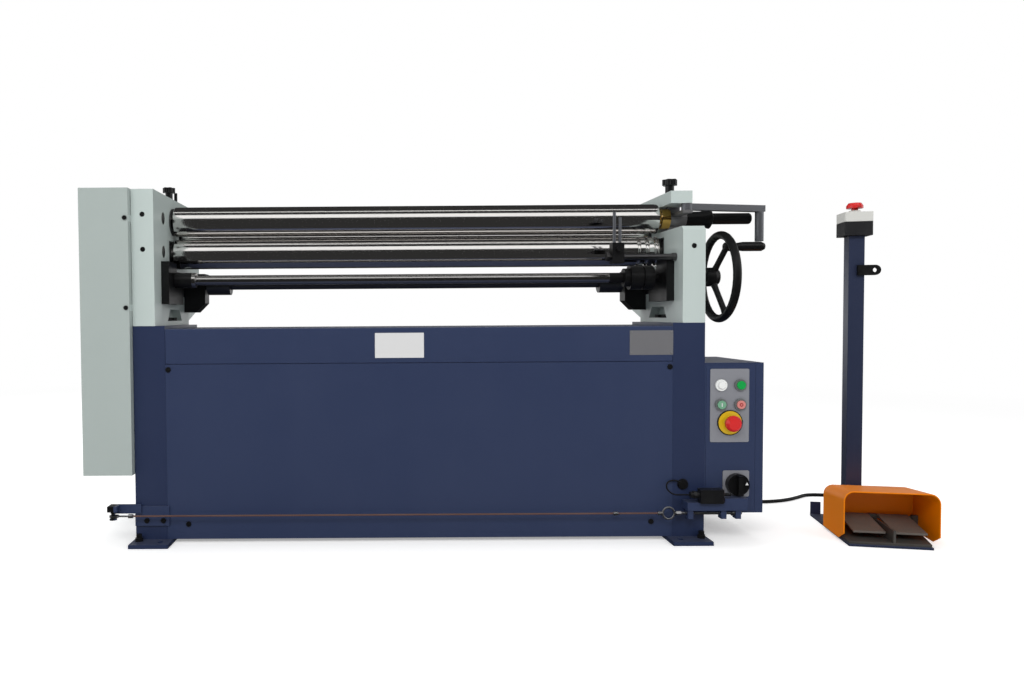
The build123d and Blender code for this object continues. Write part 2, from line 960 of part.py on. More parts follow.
def make_lower_rolls():
    journal_end = outer_x - clear
    with BuildPart() as lower_roll:
        left_end = -gear_x - gear_w - socket_lip
        plain_roll(roll_y, lower_roll_z, left_end, journal_end, journal_r)
        axis = Axis((0, roll_y, lower_roll_z), (1, 0, 0))
        for radius, inset in zip(wire_groove_radii, wire_groove_insets):
            with BuildSketch(level(lower_roll_z)) as groove:
                with Locations((half_roll - inset, roll_y + roll_r)):
                    Circle(radius)
            revolve(groove.sketch, axis=axis, mode=Mode.SUBTRACT)
    save(lower_roll, "lower_roll")
    with BuildPart() as rear_roll:
        plain_roll(rear_roll_y, rear_roll_z, -journal_end, journal_end, rear_journal_r)
    save(rear_roll, "rear_roll")


# Bearing blocks: each slides in its slot, on a screw that a worm wheel turns against
def bearing_block(centre, size, bore_r, ring_r, screw_y, screw_l):
    width, half_h = size
    face = inner_x - clear
    low = (face, centre[0] - width / 2, centre[1] - half_h)
    block(low, (outer_x - clear, centre[0] + width / 2, centre[1] + half_h))
    rod(across(face - block_ring_t), centre, ring_r, block_ring_t)
    rod(level(centre[1] - half_h), (bearing_x, screw_y), lift_screw_r, -screw_l)
    bore_l = housing_t + block_ring_t
    rod(across(face - block_ring_t), centre, bore_r + fit, bore_l, Mode.SUBTRACT)


def make_bearing_blocks():
    with BuildPart() as lower_bearing_blocks:
        centre, size = (roll_y, lower_roll_z), (block_w, block_half_h)
        screw_l = lower_screw_length
        bearing_block(centre, size, journal_r, block_ring_r, lift_screw_y, screw_l)
        mirror(about=Plane.YZ)
    save(lower_bearing_blocks, "lower_bearing_blocks")
    with BuildPart() as rear_bearing_blocks:
        centre, size = (rear_roll_y, rear_roll_z), (rear_block_w, rear_block_half_h)
        screw_l = rear_screw_length
        bearing_block(centre, size, rear_journal_r, rear_block_ring_r, rear_screw_y, screw_l)
        mirror(about=Plane.YZ)
    save(rear_bearing_blocks, "rear_bearing_blocks")


# Gears: coarse teeth, so that they stay in mesh while the lower roll rises and falls
def toothed(teeth, root, tip, turn):
    # Outline of a wheel; root and tip are (radius, half the tooth's share of its pitch)
    step = 2 * pi / teeth
    corners = (
        (root[0], -root[1]),
        (tip[0], -tip[1]),
        (tip[0], tip[1]),
        (root[0], root[1]),
    )
    points = []
    for tooth in range(teeth):
        for radius, share in corners:
            angle = turn + (tooth + share) * step
            points.append((radius * cos(angle), radius * sin(angle)))
    return points


def toothed_wheel(x, width, centre, points):
    prism(across(x), [(centre[0] + y, centre[1] + z) for y, z in points], width)


def gear_outline(turn):
    root, tip = (gear_root_r, tooth_root_share), (gear_tip_r, tooth_tip_share)
    return toothed(gear_teeth, root, tip, turn)


def sprocket_outline():
    root = (sprocket_pitch_r - roller_r - clear, sprocket_root_share)
    tip = (sprocket_pitch_r + sprocket_tooth_h, sprocket_tip_share)
    return toothed(sprocket_teeth, root, tip, pi / sprocket_teeth)


def make_gears():
    start = -gear_x - gear_w
    with BuildPart() as upper_gear:
        # Gear and chain sprocket in one piece, keyed on the sleeve's tail
        centre = (roll_y, upper_roll_z)
        toothed_wheel(start, gear_w, centre, gear_outline(-pi / 2))
        rod(across(-sprocket_x), centre, gear_boss_r, gear_boss_l)
        toothed_wheel(-drive_end_x, sprocket_w, centre, sprocket_outline())
        rod(across(-drive_end_x), centre, drive_hub_r, drive_end_x - gear_x, Mode.SUBTRACT)
    save(upper_gear, "upper_gear")
    with BuildPart() as lower_gear:
        centre = (roll_y, lower_roll_z)
        toothed_wheel(start, gear_w, centre, gear_outline(pi / 2 + pi / gear_teeth))
        rod(across(start), centre, journal_r, gear_w, Mode.SUBTRACT)
    save(lower_gear, "lower_gear")


def make_upper_drive_sleeve():
    # Hollow sleeve in the left housing: its socket holds the roll's ball, its tail the gear
    centre = (roll_y, upper_roll_z)
    flange_x = -inner_x + clear
    inside = flange_x + sleeve_flange_t
    mouth_r = journal_r + (bearing_x - half_roll) * sin(radians(swing_range)) + 2 * clear
    mouth_x = -half_roll - neck_start - socket_lip
    socket_x = -outer_x + socket_end_t
    with BuildPart() as upper_drive_sleeve:
        rod(across(flange_x), centre, sleeve_flange_r, sleeve_flange_t)
        rod(across(-gear_x), centre, sleeve_r, gear_x + flange_x)
        rod(across(-drive_end_x), centre, drive_hub_r, drive_end_x - gear_x)
        rod(across(mouth_x), centre, mouth_r, inside - mouth_x, Mode.SUBTRACT)
        rod(across(socket_x), centre, ball_r + 2 * fit, mouth_x - socket_x, Mode.SUBTRACT)
        half_l, half_w = pin_slot_l / 2, pin_slot_w / 2
        low = (-bearing_x - half_l, roll_y - half_w, upper_roll_z - sleeve_r)
        high = (-bearing_x + half_l, roll_y + half_w, upper_roll_z + sleeve_r)
        block(low, high, Mode.SUBTRACT)
    save(upper_drive_sleeve, "upper_drive_sleeve")


def make_motor_shaft():
    start = -column_in_x + gearbox_flange_t
    centre = (roll_y, motor_z)
    with BuildPart() as motor_shaft:
        rod(across(-drive_end_x), centre, motor_shaft_r, drive_end_x + start)
        rod(across(-sprocket_x), centre, gear_boss_r, gear_boss_l)
        toothed_wheel(-drive_end_x, sprocket_w, centre, sprocket_outline())
    save(motor_shaft, "motor_shaft")


# Roller chain round the two sprockets; its rollers show on the straight runs
def chain_pins():
    r = sprocket_pitch_r
    step = 2 * pi / sprocket_teeth
    half = sprocket_teeth // 2
    rise = [(roll_y + r, motor_z + k * chain_pitch) for k in range(chain_rows)]
    fall = [(roll_y - r, upper_roll_z - k * chain_pitch) for k in range(chain_rows)]
    over, under = [], []
    for k in range(half):
        y, z = r * cos(k * step), r * sin(k * step)
        over.append((roll_y + y, upper_roll_z + z))
        under.append((roll_y - y, motor_z - z))
    rollers = rise[roller_skip : chain_rows - roller_skip + 1]
    rollers += fall[roller_skip : chain_rows - roller_skip + 1]
    return rise + over + fall + under, rollers


def link_points(a, b):
    # Six-sided outline round two pins
    half = link_h / 2
    along = ((b[0] - a[0]) / chain_pitch * half, (b[1] - a[1]) / chain_pitch * half)
    side = (-along[1], along[0])
    return [
        (a[0] + side[0], a[1] + side[1]),
        (a[0] - along[0], a[1] - along[1]),
        (a[0] - side[0], a[1] - side[1]),
        (b[0] - side[0], b[1] - side[1]),
        (b[0] + along[0], b[1] + along[1]),
        (b[0] + side[0], b[1] + side[1]),
    ]


def make_drive_chain():
    pins, rollers = chain_pins()
    inside = sprocket_w / 2 + clear
    with BuildPart() as drive_chain:
        for k, pin in enumerate(pins):
            points = link_points(pin, pins[(k + 1) % len(pins)])
            start = inside + (k % 2) * link_t
            prism(across(-chain_x + start), points, link_t)
            prism(across(-chain_x - start), points, -link_t)
        for place in rollers:
            stud(across(-chain_x - inside), place, roller_r, 2 * inside, roller_sides)
    save(drive_chain, "drive_chain")


def make_gearmotor():
    start = -column_in_x
    centre = (roll_y, motor_z)
    with BuildPart() as gearmotor:
        case_x = start + gearbox_flange_t
        low = (case_x, roll_y - gearbox_w / 2, motor_z - gearbox_h / 2)
        high = (case_x + gearbox_l, roll_y + gearbox_w / 2, motor_z + gearbox_h / 2)
        block(low, high)
        chamfer(gearmotor.edges().filter_by(Axis.X), gearbox_chamfer)
        rod(across(start), centre, gearbox_flange_r, gearbox_flange_t)
        motor_x = case_x + gearbox_l
        rod(across(motor_x), centre, motor_r + motor_rim, gearbox_flange_t)
        rod(across(motor_x), centre, motor_r, motor_l)
        cowl_x = motor_x + motor_l - motor_cowl_l
        rod(across(cowl_x), centre, motor_r + motor_rim, motor_cowl_l)
        middle = motor_x + motor_l / 2 - motor_cowl_l / 2
        half = terminal_box / 2
        low = (middle - half, roll_y - half, motor_z)
        block(low, (middle + half, roll_y + half, motor_z + motor_r + terminal_box_h))
        bore_l = gearbox_flange_t + clear
        rod(across(start), centre, motor_shaft_r + fit, bore_l, Mode.SUBTRACT)
    save(gearmotor, "gearmotor")


# Worm boxes in the housings; a worm on each cross shaft turns a wheel on each lift screw
def worm_cavity(shaft_y, screw_y, shaft_z, bore_r):
    place = (bearing_x, screw_y)
    cavity_z = shaft_z - wheel_t / 2 - clear
    rod(level(cavity_z), place, wheel_r + clear, wheel_t + 2 * clear, Mode.SUBTRACT)
    rod(level(shaft_z - box_half_h), place, wheel_hub_r + fit, 2 * box_half_h, Mode.SUBTRACT)
    start = bearing_x - worm_length / 2 - clear
    centre = (shaft_y, shaft_z)
    rod(across(start), centre, worm_r + clear, worm_length + 2 * clear, Mode.SUBTRACT)
    start = inner_x - rear_box_reach
    rod(across(start), centre, bore_r + fit, outer_x - start, Mode.SUBTRACT)


def box_body(shaft_y, screw_y, shaft_z):
    low_y, high_y = box_sides(shaft_y, screw_y)
    low = (inner_x, low_y, shaft_z - box_half_h)
    block(low, (outer_x - box_skin - clear, high_y, shaft_z + box_half_h))


def make_worm_boxes():
    with BuildPart() as worm_boxes:
        box_body(front_shaft_y, lift_screw_y, front_shaft_z)
        low_y, high_y = box_sides(front_shaft_y, lift_screw_y)
        top = front_shaft_z + box_half_h
        bottom = front_shaft_z - box_half_h - front_plate_drop
        points = [
            (low_y - front_plate_front, bottom),
            (high_y, bottom),
            (high_y, top - front_plate_low_step),
            (low_y + front_plate_step_y, top - front_plate_low_step),
            (low_y + front_plate_step_y, top + front_plate_top_step),
            (low_y - front_plate_front, top + front_plate_top_step),
        ]
        prism(across(inner_x - front_plate_t), points, front_plate_t)
        worm_cavity(front_shaft_y, lift_screw_y, front_shaft_z, shaft_journal_r)
        box_body(rear_shaft_y, rear_screw_y, rear_shaft_z)
        top = rear_shaft_z + box_half_h
        bottom = rear_shaft_z - box_half_h - rear_box_drop
        side = [
            (inner_x - rear_box_reach, bottom + rear_gusset),
            (inner_x - rear_box_reach + rear_gusset, bottom),
            (inner_x, bottom),
            (inner_x, top),
            (inner_x - rear_box_reach, top),
        ]
        prism(facing(rear_shaft_y + rear_box_w / 2), side, rear_box_w)
        worm_cavity(rear_shaft_y, rear_screw_y, rear_shaft_z, rear_journal_end_r)
        mirror(about=Plane.YZ)
        centre = (front_shaft_y, front_shaft_z)
        bore_r = handwheel_shaft_r + fit
        rod(across(bearing_x), centre, bore_r, housing_t, Mode.SUBTRACT)
    save(worm_boxes, "worm_boxes")


def worm(centre, middle_x):
    # Its thread shows as rings
    start = middle_x - worm_length / 2
    step = worm_length / worm_turns
    root = worm_r * worm_root_share
    points = [(start, 0), (start, root)]
    for k in range(worm_turns):
        a, b, c, d = [start + (k + share) * step for share in worm_flank_shares]
        points += [(a, root), (b, worm_r), (c, worm_r), (d, root)]
    points += [(start + worm_length, root), (start + worm_length, 0)]
    turned(*centre, points)


def make_front_shaft():
    centre = (front_shaft_y, front_shaft_z)
    sleeve_x = -inner_x + front_plate_t + clear
    clutch_end = inner_x - clutch_inset
    clutch_start = clutch_end - clutch_l
    a, b, c = [clutch_start + share * clutch_l for share in clutch_shares]
    left_end = -outer_x + box_skin + shaft_end_gap
    right_end = wheel_x - wheel_dish - hub_l / 2 + hub_bore_depth
    steps = [
        (left_end, sleeve_x, shaft_journal_r),
        (sleeve_x, sleeve_x + left_sleeve_l, left_sleeve_r),
        (sleeve_x + left_sleeve_l, clutch_start, shaft_r),
        (clutch_start, a, clutch_neck_r),
        (a, b, clutch_r),
        (b, c, clutch_groove_r),
        (c, clutch_end, clutch_r),
        (clutch_end, bearing_x, shaft_journal_r),
        (bearing_x, right_end, handwheel_shaft_r),
    ]
    with BuildPart() as front_cross_shaft:
        points = [(left_end, 0)]
        for start, end, radius in steps:
            points += [(start, radius), (end, radius)]
        turned(*centre, points + [(right_end, 0)])
        worm(centre, bearing_x)
        worm(centre, -bearing_x)
        with BuildSketch(across(clutch_end)) as heads:
            with Locations(centre):
                with PolarLocations(clutch_screw_circle_r, clutch_screws):
                    Circle(clutch_screw_r)
        extrude(heads.sketch, amount=clutch_screw_h)
    save(front_cross_shaft, "front_cross_shaft")


def make_rear_shaft():
    centre = (rear_shaft_y, rear_shaft_z)
    inside = inner_x - rear_box_reach - clear
    coupling_end = inside - coupling_gap
    coupling_start = coupling_end - coupling_l
    left_end = -outer_x + box_skin + shaft_end_gap
    right_end = outer_x + square_gap
    steps = [
        (left_end, -inside, rear_journal_end_r),
        (-inside, -coupling_end, rear_shaft_r),
        (-coupling_end, -coupling_start, coupling_r),
        (-coupling_start, coupling_start, rear_shaft_r),
        (coupling_start, coupling_end, coupling_r),
        (coupling_end, inside, rear_shaft_r),
        (inside, right_end, rear_journal_end_r),
    ]
    with BuildPart() as rear_cross_shaft:
        points = [(left_end, 0)]
        for start, end, radius in steps:
            points += [(start, radius), (end, radius)]
        turned(*centre, points + [(right_end, 0)])
        worm(centre, bearing_x)
        worm(centre, -bearing_x)
        half = square_end / 2
        low = (right_end, rear_shaft_y - half, rear_shaft_z - half)
        high = (right_end + square_reach, rear_shaft_y + half, rear_shaft_z + half)
        block(low, high)
    save(rear_cross_shaft, "rear_cross_shaft")


def make_worm_wheels():
    places = (
        ("left_lift_wheel", -bearing_x, lift_screw_y, front_shaft_z),
        ("right_lift_wheel", bearing_x, lift_screw_y, front_shaft_z),
        ("left_rear_wheel", -bearing_x, rear_screw_y, rear_shaft_z),
        ("right_rear_wheel", bearing_x, rear_screw_y, rear_shaft_z),
    )
    for name, x, y, z in places:
        with BuildPart() as worm_wheel:
            hub = level(z - wheel_hub_h / 2)
            rod(hub, (x, y), wheel_hub_r, wheel_hub_h)
            rod(level(z - wheel_t / 2), (x, y), wheel_r, wheel_t)
            rod(hub, (x, y), lift_screw_r + fit, wheel_hub_h, Mode.SUBTRACT)
        save(worm_wheel, name)


# Upper roll's right bearing, which swings forward out of the throat with its handle
def lever_pivot():
    return (outer_x - lever_pivot_inset, front_y + lever_pivot_front)


def make_swing_bearing():
    start = half_roll + bush_gap
    centre = (roll_y, upper_roll_z)
    with BuildPart() as brass_bush:
        rod(across(start), centre, bush_r, bush_w)
        rod(across(start), centre, bush_bore_r, bush_w, Mode.SUBTRACT)
    save(brass_bush, "brass_bush")
    start = start + bush_w
    seat_top = throat_roof_z - lever_t - 2 * clear
    pivot = lever_pivot()
    with BuildPart() as upper_bearing_block:
        rod(across(start), centre, nose_r, nose_end_x - start)
        back = min(roll_y + block_back, front_y + throat_depth - clear)
        low = (start, roll_y, throat_floor_z + clear)
        block(low, (outer_x, back, throat_roof_z - clear))
        low = (outer_x - lever_seat_w, pivot[1] - lever_root_r, seat_top - lever_seat_t)
        block(low, (outer_x, roll_y, seat_top))
        rod(level(seat_top), pivot, lever_pin_r, lever_t)
        rod(across(start), centre, bush_bore_r, nose_end_x - start, Mode.SUBTRACT)
    save(upper_bearing_block, "upper_bearing_block")
    with BuildPart() as lift_handle:
        flare_x = nose_end_x + collar_l
        stem_x = flare_x + flare_l + taper_l
        end_x = stem_x + handle_l
        points = [
            (nose_end_x, 0),
            (nose_end_x, collar_r),
            (flare_x, collar_r),
            (flare_x + flare_l, flare_r),
            (stem_x, handle_r),
            (end_x, handle_r),
            (end_x, 0),
        ]
        turned(*centre, points)
        fillet(lift_handle.faces().sort_by(Axis.X)[-1].edges(), handle_end_fillet)
    save(lift_handle, "lift_handle")


def make_lock_lever():
    x, y = lever_pivot()
    angle = radians(lever_angle)
    bottom = throat_roof_z - lever_t - clear
    turn = Plane(origin=(x, y, bottom), x_dir=(cos(angle), sin(angle), 0), z_dir=(0, 0, 1))
    with BuildPart() as lock_lever:
        with BuildSketch(turn) as plan:
            Circle(lever_root_r)
            Rectangle(lever_reach, lever_w, align=(Align.MIN, Align.CENTER))
            Circle(lever_pin_r + fit, mode=Mode.SUBTRACT)
        extrude(plan.sketch, amount=lever_t - clear)
        rod(turn, (lever_reach - lever_rod_r, 0), lever_rod_r, -lever_rod_drop)
    save(lock_lever, "lock_lever")


# Star knobs that press on the bearings from above
def star_knob(place, scale_share):
    neck_h = knob_neck_h * scale_share
    rod(level(housing_top_z), place, knob_neck_r * scale_share, neck_h)
    lobe_r = knob_lobe_r * scale_share
    with BuildSketch(level(housing_top_z + neck_h)) as head:
        with Locations(place):
            Circle(knob_core_r * scale_share)
            with PolarLocations(knob_r * scale_share - lobe_r, knob_lobes):
                Circle(lobe_r)
    extrude(head.sketch, amount=knob_h * scale_share)
    rod(level(housing_top_z), place, knob_screw_r, -arm_h)


def make_star_knobs():
    with BuildPart() as right_clamp_knob:
        star_knob((bearing_x, roll_y), 1)
    save(right_clamp_knob, "right_clamp_knob")
    with BuildPart() as left_clamp_knob:
        star_knob((left_knob_x, left_knob_y), left_knob_share)
    save(left_clamp_knob, "left_clamp_knob")


# Handwheel with a grip that spins on its pin
def make_handwheel():
    centre = (front_shaft_y, front_shaft_z)
    hub_x = wheel_x - wheel_dish - hub_l / 2
    y, z = grip_place()
    with BuildPart() as handwheel:
        with BuildSketch(level(front_shaft_z)) as tube:
            with Locations((wheel_x, front_shaft_y + rim_r)):
                RegularPolygon(rim_tube_r, rim_sides)
        revolve(tube.sketch, axis=Axis((0, front_shaft_y, front_shaft_z), (1, 0, 0)))
        rod(across(hub_x), centre, hub_r, hub_l)
        for k in range(spokes):
            angle = radians(grip_angle) + k * 2 * pi / spokes
            y_share, z_share = cos(angle), sin(angle)
            middle = (wheel_x - wheel_dish, front_shaft_y, front_shaft_z)
            outwards = (wheel_dish, rim_r * y_share, rim_r * z_share)
            sideways = (rim_r, -wheel_dish * y_share, -wheel_dish * z_share)
            spoke = Plane(origin=middle, x_dir=sideways, z_dir=outwards)
            rod(spoke, (0, 0), spoke_r, sqrt(rim_r**2 + wheel_dish**2))
        rod(across(wheel_x), (y, z), grip_boss_r, grip_boss_l)
        pin_x = wheel_x + grip_boss_l
        rod(across(pin_x), (y, z), grip_pin_r, grip_l * grip_shares[1] - grip_boss_l / 2)
        rod(across(hub_x), centre, handwheel_shaft_r, hub_bore_depth, Mode.SUBTRACT)
    save(handwheel, "handwheel")
    with BuildPart() as handwheel_grip:
        start = pin_x + clear
        full, shoulder = [start + share * grip_l for share in grip_shares]
        points = [
            (start, grip_pin_r + fit),
            (start, grip_neck_r),
            (full, grip_r),
            (shoulder, grip_r),
            (start + grip_l, grip_neck_r),
            (start + grip_l, 0),
            (shoulder, 0),
            (shoulder, grip_pin_r + fit),
        ]
        turned(y, z, points)
    save(handwheel_grip, "handwheel_grip")


# Side guide: a block with two pins that slides on a bar in front of the lower roll
def make_side_guide():
    centre = (guide_y, guide_z)
    start = inner_x - guide_bar_l
    with BuildPart() as guide_bar:
        rod(across(start), centre, guide_bar_r, guide_bar_l)
        rod(across(inner_x - guide_seat_l), centre, guide_seat_r, guide_seat_l)
        stud(across(start), centre, guide_nut_r, guide_nut_l)
    save(guide_bar, "guide_bar")
    with BuildPart() as guide_block:
        left = start + guide_block_gap
        low = (left, guide_y - guide_block_w / 2, guide_z - guide_block_down)
        high = (left + guide_block_l, guide_y + guide_block_w / 2, guide_z + guide_block_up)
        block(low, high)
        rod(across(left), centre, guide_bar_r + fit, guide_block_l, Mode.SUBTRACT)
        for share, top in zip(guide_pin_shares, guide_pin_tops):
            place = (left + share * guide_block_l, guide_y)
            rod(level(high[2]), place, guide_pin_r, top - high[2])
        place = (left + guide_block_l / 2, guide_z + guide_block_up / 2)
        rod(facing(low[1]), place, guide_screw_r, guide_screw_l)
    save(guide_block, "guide_block")


# Control box with its fixed front cover
def operator_holes():
    buttons, lamp = button_places()
    barrel_r = bezel_barrel_r + clear
    holes = [(place, barrel_r) for place in buttons + [lamp, stop_place()]]
    return holes + [(switch_place(), switch_spindle_r + 2 * clear)]


def make_control_box():
    top = box_bottom_z + box_h
    with BuildPart() as control_box:
        block((box_x, front_y, box_bottom_z), (box_right_x, box_back_y, top))
        low = (box_x + box_wall, front_y + box_wall, box_bottom_z + box_wall)
        high = (box_right_x - box_wall, box_back_y - box_wall, top - box_wall)
        block(low, high, Mode.SUBTRACT)
        left, right = box_x + box_left_rim, box_right_x - box_right_rim
        low_z, high_z = box_bottom_z + box_rim, top - box_rim
        low = (left, front_y, low_z)
        block(low, (right, front_y + box_wall, high_z), Mode.SUBTRACT)
        gap = box_cover_gap
        low = (left + gap, front_y, low_z + gap)
        block(low, (right - gap, front_y + box_wall, high_z - gap))
        for place, radius in operator_holes():
            rod(facing(front_y), place, radius, -box_wall, Mode.SUBTRACT)
        place = (box_x + box_gland_inset, box_gland_z)
        rod(facing(box_back_y), place, cable_r + clear, box_wall, Mode.SUBTRACT)
    save(control_box, "control_box")


def make_operator_plates():
    with BuildPart() as operator_plates:
        with BuildSketch(facing(front_y)) as face:
            middle_x = box_x + panel_inset + panel_w / 2
            with Locations((middle_x, box_bottom_z + panel_rise + panel_h / 2)):
                RectangleRounded(panel_w, panel_h, panel_corner)
        extrude(face.sketch, amount=panel_t)
        with BuildSketch(facing(front_y)) as plate:
            with Locations(switch_place()):
                RectangleRounded(switch_plate, switch_plate, panel_corner)
        extrude(plate.sketch, amount=switch_plate_t)
        for place, radius in operator_holes():
            rod(facing(front_y), place, radius, switch_plate_t, Mode.SUBTRACT)
    save(operator_plates, "operator_plates")


# Push buttons, lamp, emergency stop and main switch
def bezel(place):
    rod(facing(panel_face_y), place, bezel_r, bezel_h)
    rod(facing(panel_face_y), place, bezel_barrel_r, -bezel_barrel_l)
    front = panel_face_y - bezel_h
    stem_r = cap_stem_r + clear
    rod(facing(front), place, stem_r, -bezel_h - bezel_barrel_l, Mode.SUBTRACT)
    rod(facing(front), place, cap_r + clear, -bezel_recess, Mode.SUBTRACT)


def mushroom(plane, place, stem_l):
    rod(plane, place, stop_head_r, stop_head_h)
    with BuildSketch(plane.offset(stop_head_h)) as dome:
        with Locations(place):
            Circle(stop_head_r)
    extrude(dome.sketch, amount=stop_dome_h, taper=stop_dome_taper)
    rod(plane, place, cap_stem_r, -stem_l)


def make_buttons():
    buttons, lamp = button_places()
    with BuildPart() as button_bezels:
        for place in buttons:
            bezel(place)
        face = panel_face_y - stop_ring_t
        rod(facing(face), stop_place(), stop_collar_r, stop_collar_h)
        rod(facing(face), stop_place(), bezel_barrel_r - fit, -bezel_barrel_l)
        front = face - stop_collar_h
        bore_l = stop_collar_h + bezel_barrel_l
        rod(facing(front), stop_place(), cap_stem_r + clear, -bore_l, Mode.SUBTRACT)
    save(button_bezels, "button_bezels")
    back = panel_face_y - bezel_h + bezel_recess - button_travel - clear
    height = cap_proud + bezel_recess - button_travel - clear
    for name, place in zip(("jog_button", "start_button", "stop_button"), buttons):
        with BuildPart() as button:
            rod(facing(back), place, cap_r, height)
            rod(facing(back), place, cap_stem_r, -cap_stem_l)
        save(button, name)
    with BuildPart() as power_lamp:
        rod(facing(panel_face_y), lamp, bezel_r, bezel_h)
        rod(facing(panel_face_y), lamp, bezel_barrel_r, -bezel_barrel_l)
        with BuildSketch(facing(panel_face_y - bezel_h)) as dome:
            with Locations(lamp):
                Circle(cap_r)
        extrude(dome.sketch, amount=lamp_dome, taper=lamp_taper)
    save(power_lamp, "power_lamp")


def make_stop_and_switch():
    place = stop_place()
    with BuildPart() as stop_ring:
        rod(facing(panel_face_y), place, stop_ring_r, stop_ring_t)
        rod(facing(panel_face_y), place, bezel_barrel_r, stop_ring_t, Mode.SUBTRACT)
    save(stop_ring, "stop_ring")
    with BuildPart() as stop_head:
        under = panel_face_y - stop_ring_t - stop_collar_h - stop_gap
        mushroom(facing(under), place, stop_stem_l)
    save(stop_head, "stop_head")
    place = switch_place()
    with BuildPart() as switch_knob:
        start = front_y - switch_plate_t - clear
        rod(facing(start), place, switch_knob_r, switch_knob_h)
        with BuildSketch(facing(start - switch_knob_h)) as grip:
            with Locations(place):
                Rectangle(switch_grip_w, switch_grip_l)
        extrude(grip.sketch, amount=switch_grip_h)
        rod(facing(start), place, switch_spindle_r, -switch_spindle_l)
    save(switch_knob, "switch_knob")


# Pull wire: a tug anywhere along it works the switch on the right
def eye_post_place():
    return (-outer_x - wire_arm_reach + wire_tongue_w / 2, wire_y)


def make_wire_brackets():
    with BuildPart() as wire_brackets:
        # Left arm
        plate_front = front_y - wire_plate_t
        low = (-outer_x, plate_front, wire_plate_z)
        block(low, (-outer_x + wire_plate_w, front_y, wire_plate_z + wire_plate_h))
        bar_front = plate_front - wire_arm_t
        bar_top = wire_arm_z + wire_arm_h
        low = (-outer_x - wire_arm_reach, bar_front, wire_arm_z)
        block(low, (-outer_x + wire_arm_lap_share * wire_plate_w, plate_front, bar_top))
        tongue_front = plate_front - wire_tongue_reach
        low = (-outer_x - wire_arm_reach, tongue_front, bar_top - wire_tongue_h)
        block(low, (-outer_x - wire_arm_reach + wire_tongue_w, plate_front, bar_top))
        post = eye_post_place()
        rod(level(bar_top - wire_tongue_h), post, eye_post_r, -eye_post_drop)
        rod(level(bar_top - wire_tongue_h - eye_post_drop), post, eye_head_r, -eye_head_h)
        # Right shelf, with the lugs that guide the pull rod
        top = shelf_z + shelf_h
        low = (shelf_x, front_y - shelf_depth, shelf_z)
        block(low, (shelf_x + shelf_l, front_y, top))
        ledge_x = shelf_x + shelf_l - ledge_l
        low = (ledge_x, front_y - shelf_depth, top)
        block(low, (shelf_x + shelf_l, front_y - ledge_back, top + ledge_h))
        for offset in shelf_lug_offsets:
            half = shelf_lug_depth / 2
            low = (shelf_x + offset, wire_y - half, shelf_z - shelf_lug_h)
            block(low, (shelf_x + offset + shelf_lug_t, wire_y + half, shelf_z))
        centre = (wire_y, wire_z)
        rod(across(shelf_x), centre, pull_rod_r + fit, shelf_l, Mode.SUBTRACT)
    save(wire_brackets, "wire_brackets")


def make_pull_wire():
    x, y = eye_post_place()
    hole_r = eye_post_r + clear
    slot_l = wire_travel + clear
    with BuildPart() as pull_wire:
        with BuildSketch(level(wire_z - loop_t / 2)) as loop:
            with Locations((x + slot_l / 2, y)):
                SlotCenterToCenter(slot_l, 2 * (hole_r + loop_wall))
                SlotCenterToCenter(slot_l, 2 * hole_r, mode=Mode.SUBTRACT)
        extrude(loop.sketch, amount=loop_t)
        centre = (wire_y, wire_z)
        start = x + slot_l + hole_r + loop_wall / 2
        rod(across(start), centre, wire_r, ring_x - ring_r - start)
        for place in crimp_places:
            rod(across(place), centre, crimp_r, crimp_l)
        with BuildSketch(facing(wire_y)) as section:
            with Locations((ring_x + ring_r, wire_z)):
                RegularPolygon(ring_tube_r, ring_sides)
        revolve(section.sketch, axis=Axis((ring_x, wire_y, wire_z), (0, 0, 1)))
        end = shelf_x + shelf_lug_offsets[-1] + shelf_lug_t + wire_travel
        rod(across(ring_x + ring_r), centre, pull_rod_r, end - ring_x - ring_r)
        stud(across(ring_nut_x), centre, ring_nut_r, ring_nut_l)
        collar_x = shelf_x + shelf_lug_offsets[-1] - clear - pull_collar_l
        rod(across(collar_x), centre, pull_collar_r, pull_collar_l)
    save(pull_wire, "pull_wire")


def make_rope_switch():
    bottom = shelf_z + shelf_h
    half = switch_body_w / 2
    centre = (switch_body_y, lead_gland_z)
    end = switch_body_x + switch_body_l
    with BuildPart() as rope_switch:
        low = (switch_body_x, switch_body_y - half, bottom)
        block(low, (end, switch_body_y + half, bottom + switch_body_h))
        fillet(rope_switch.edges().filter_by(Axis.Z), switch_body_fillet)
        gland_x = switch_body_x - lead_gland_l
        rod(across(gland_x), centre, lead_gland_r, lead_gland_l)
        nut_l = lead_gland_l * lead_gland_share
        stud(across(gland_x + nut_l), centre, lead_gland_nut_r, nut_l)
        rod(across(end), centre, plunger_r, plunger_l)
    save(rope_switch, "rope_switch")


# Pedestal: drawn in its own frame, then turned and set beside the machine
def stand(piece, name):
    shape = piece.part.moved(pedestal_location())
    shape.label = name
    export_step(shape, f"parts/{name}.step")


def make_pedestal_stand():
    half_w, half_d = pedestal_w / 2, pedestal_d / 2
    half_post = post_w / 2
    with BuildPart() as pedestal_stand:
        block((-half_w, -half_d, 0), (half_w, half_d, pedestal_t))
        low = (-half_w, half_d - tab_t, pedestal_t)
        block(low, (-half_w + tab_w, half_d, pedestal_t + tab_h))
        low = (post_x - half_post, post_y - half_post, pedestal_t)
        block(low, (post_x + half_post, post_y + half_post, post_top_z))
        inside = half_post - post_wall
        low = (post_x - inside, post_y - inside, pedestal_t)
        high = (post_x + inside, post_y + inside, post_top_z - post_wall)
        block(low, high, Mode.SUBTRACT)
    stand(pedestal_stand, "pedestal_stand")


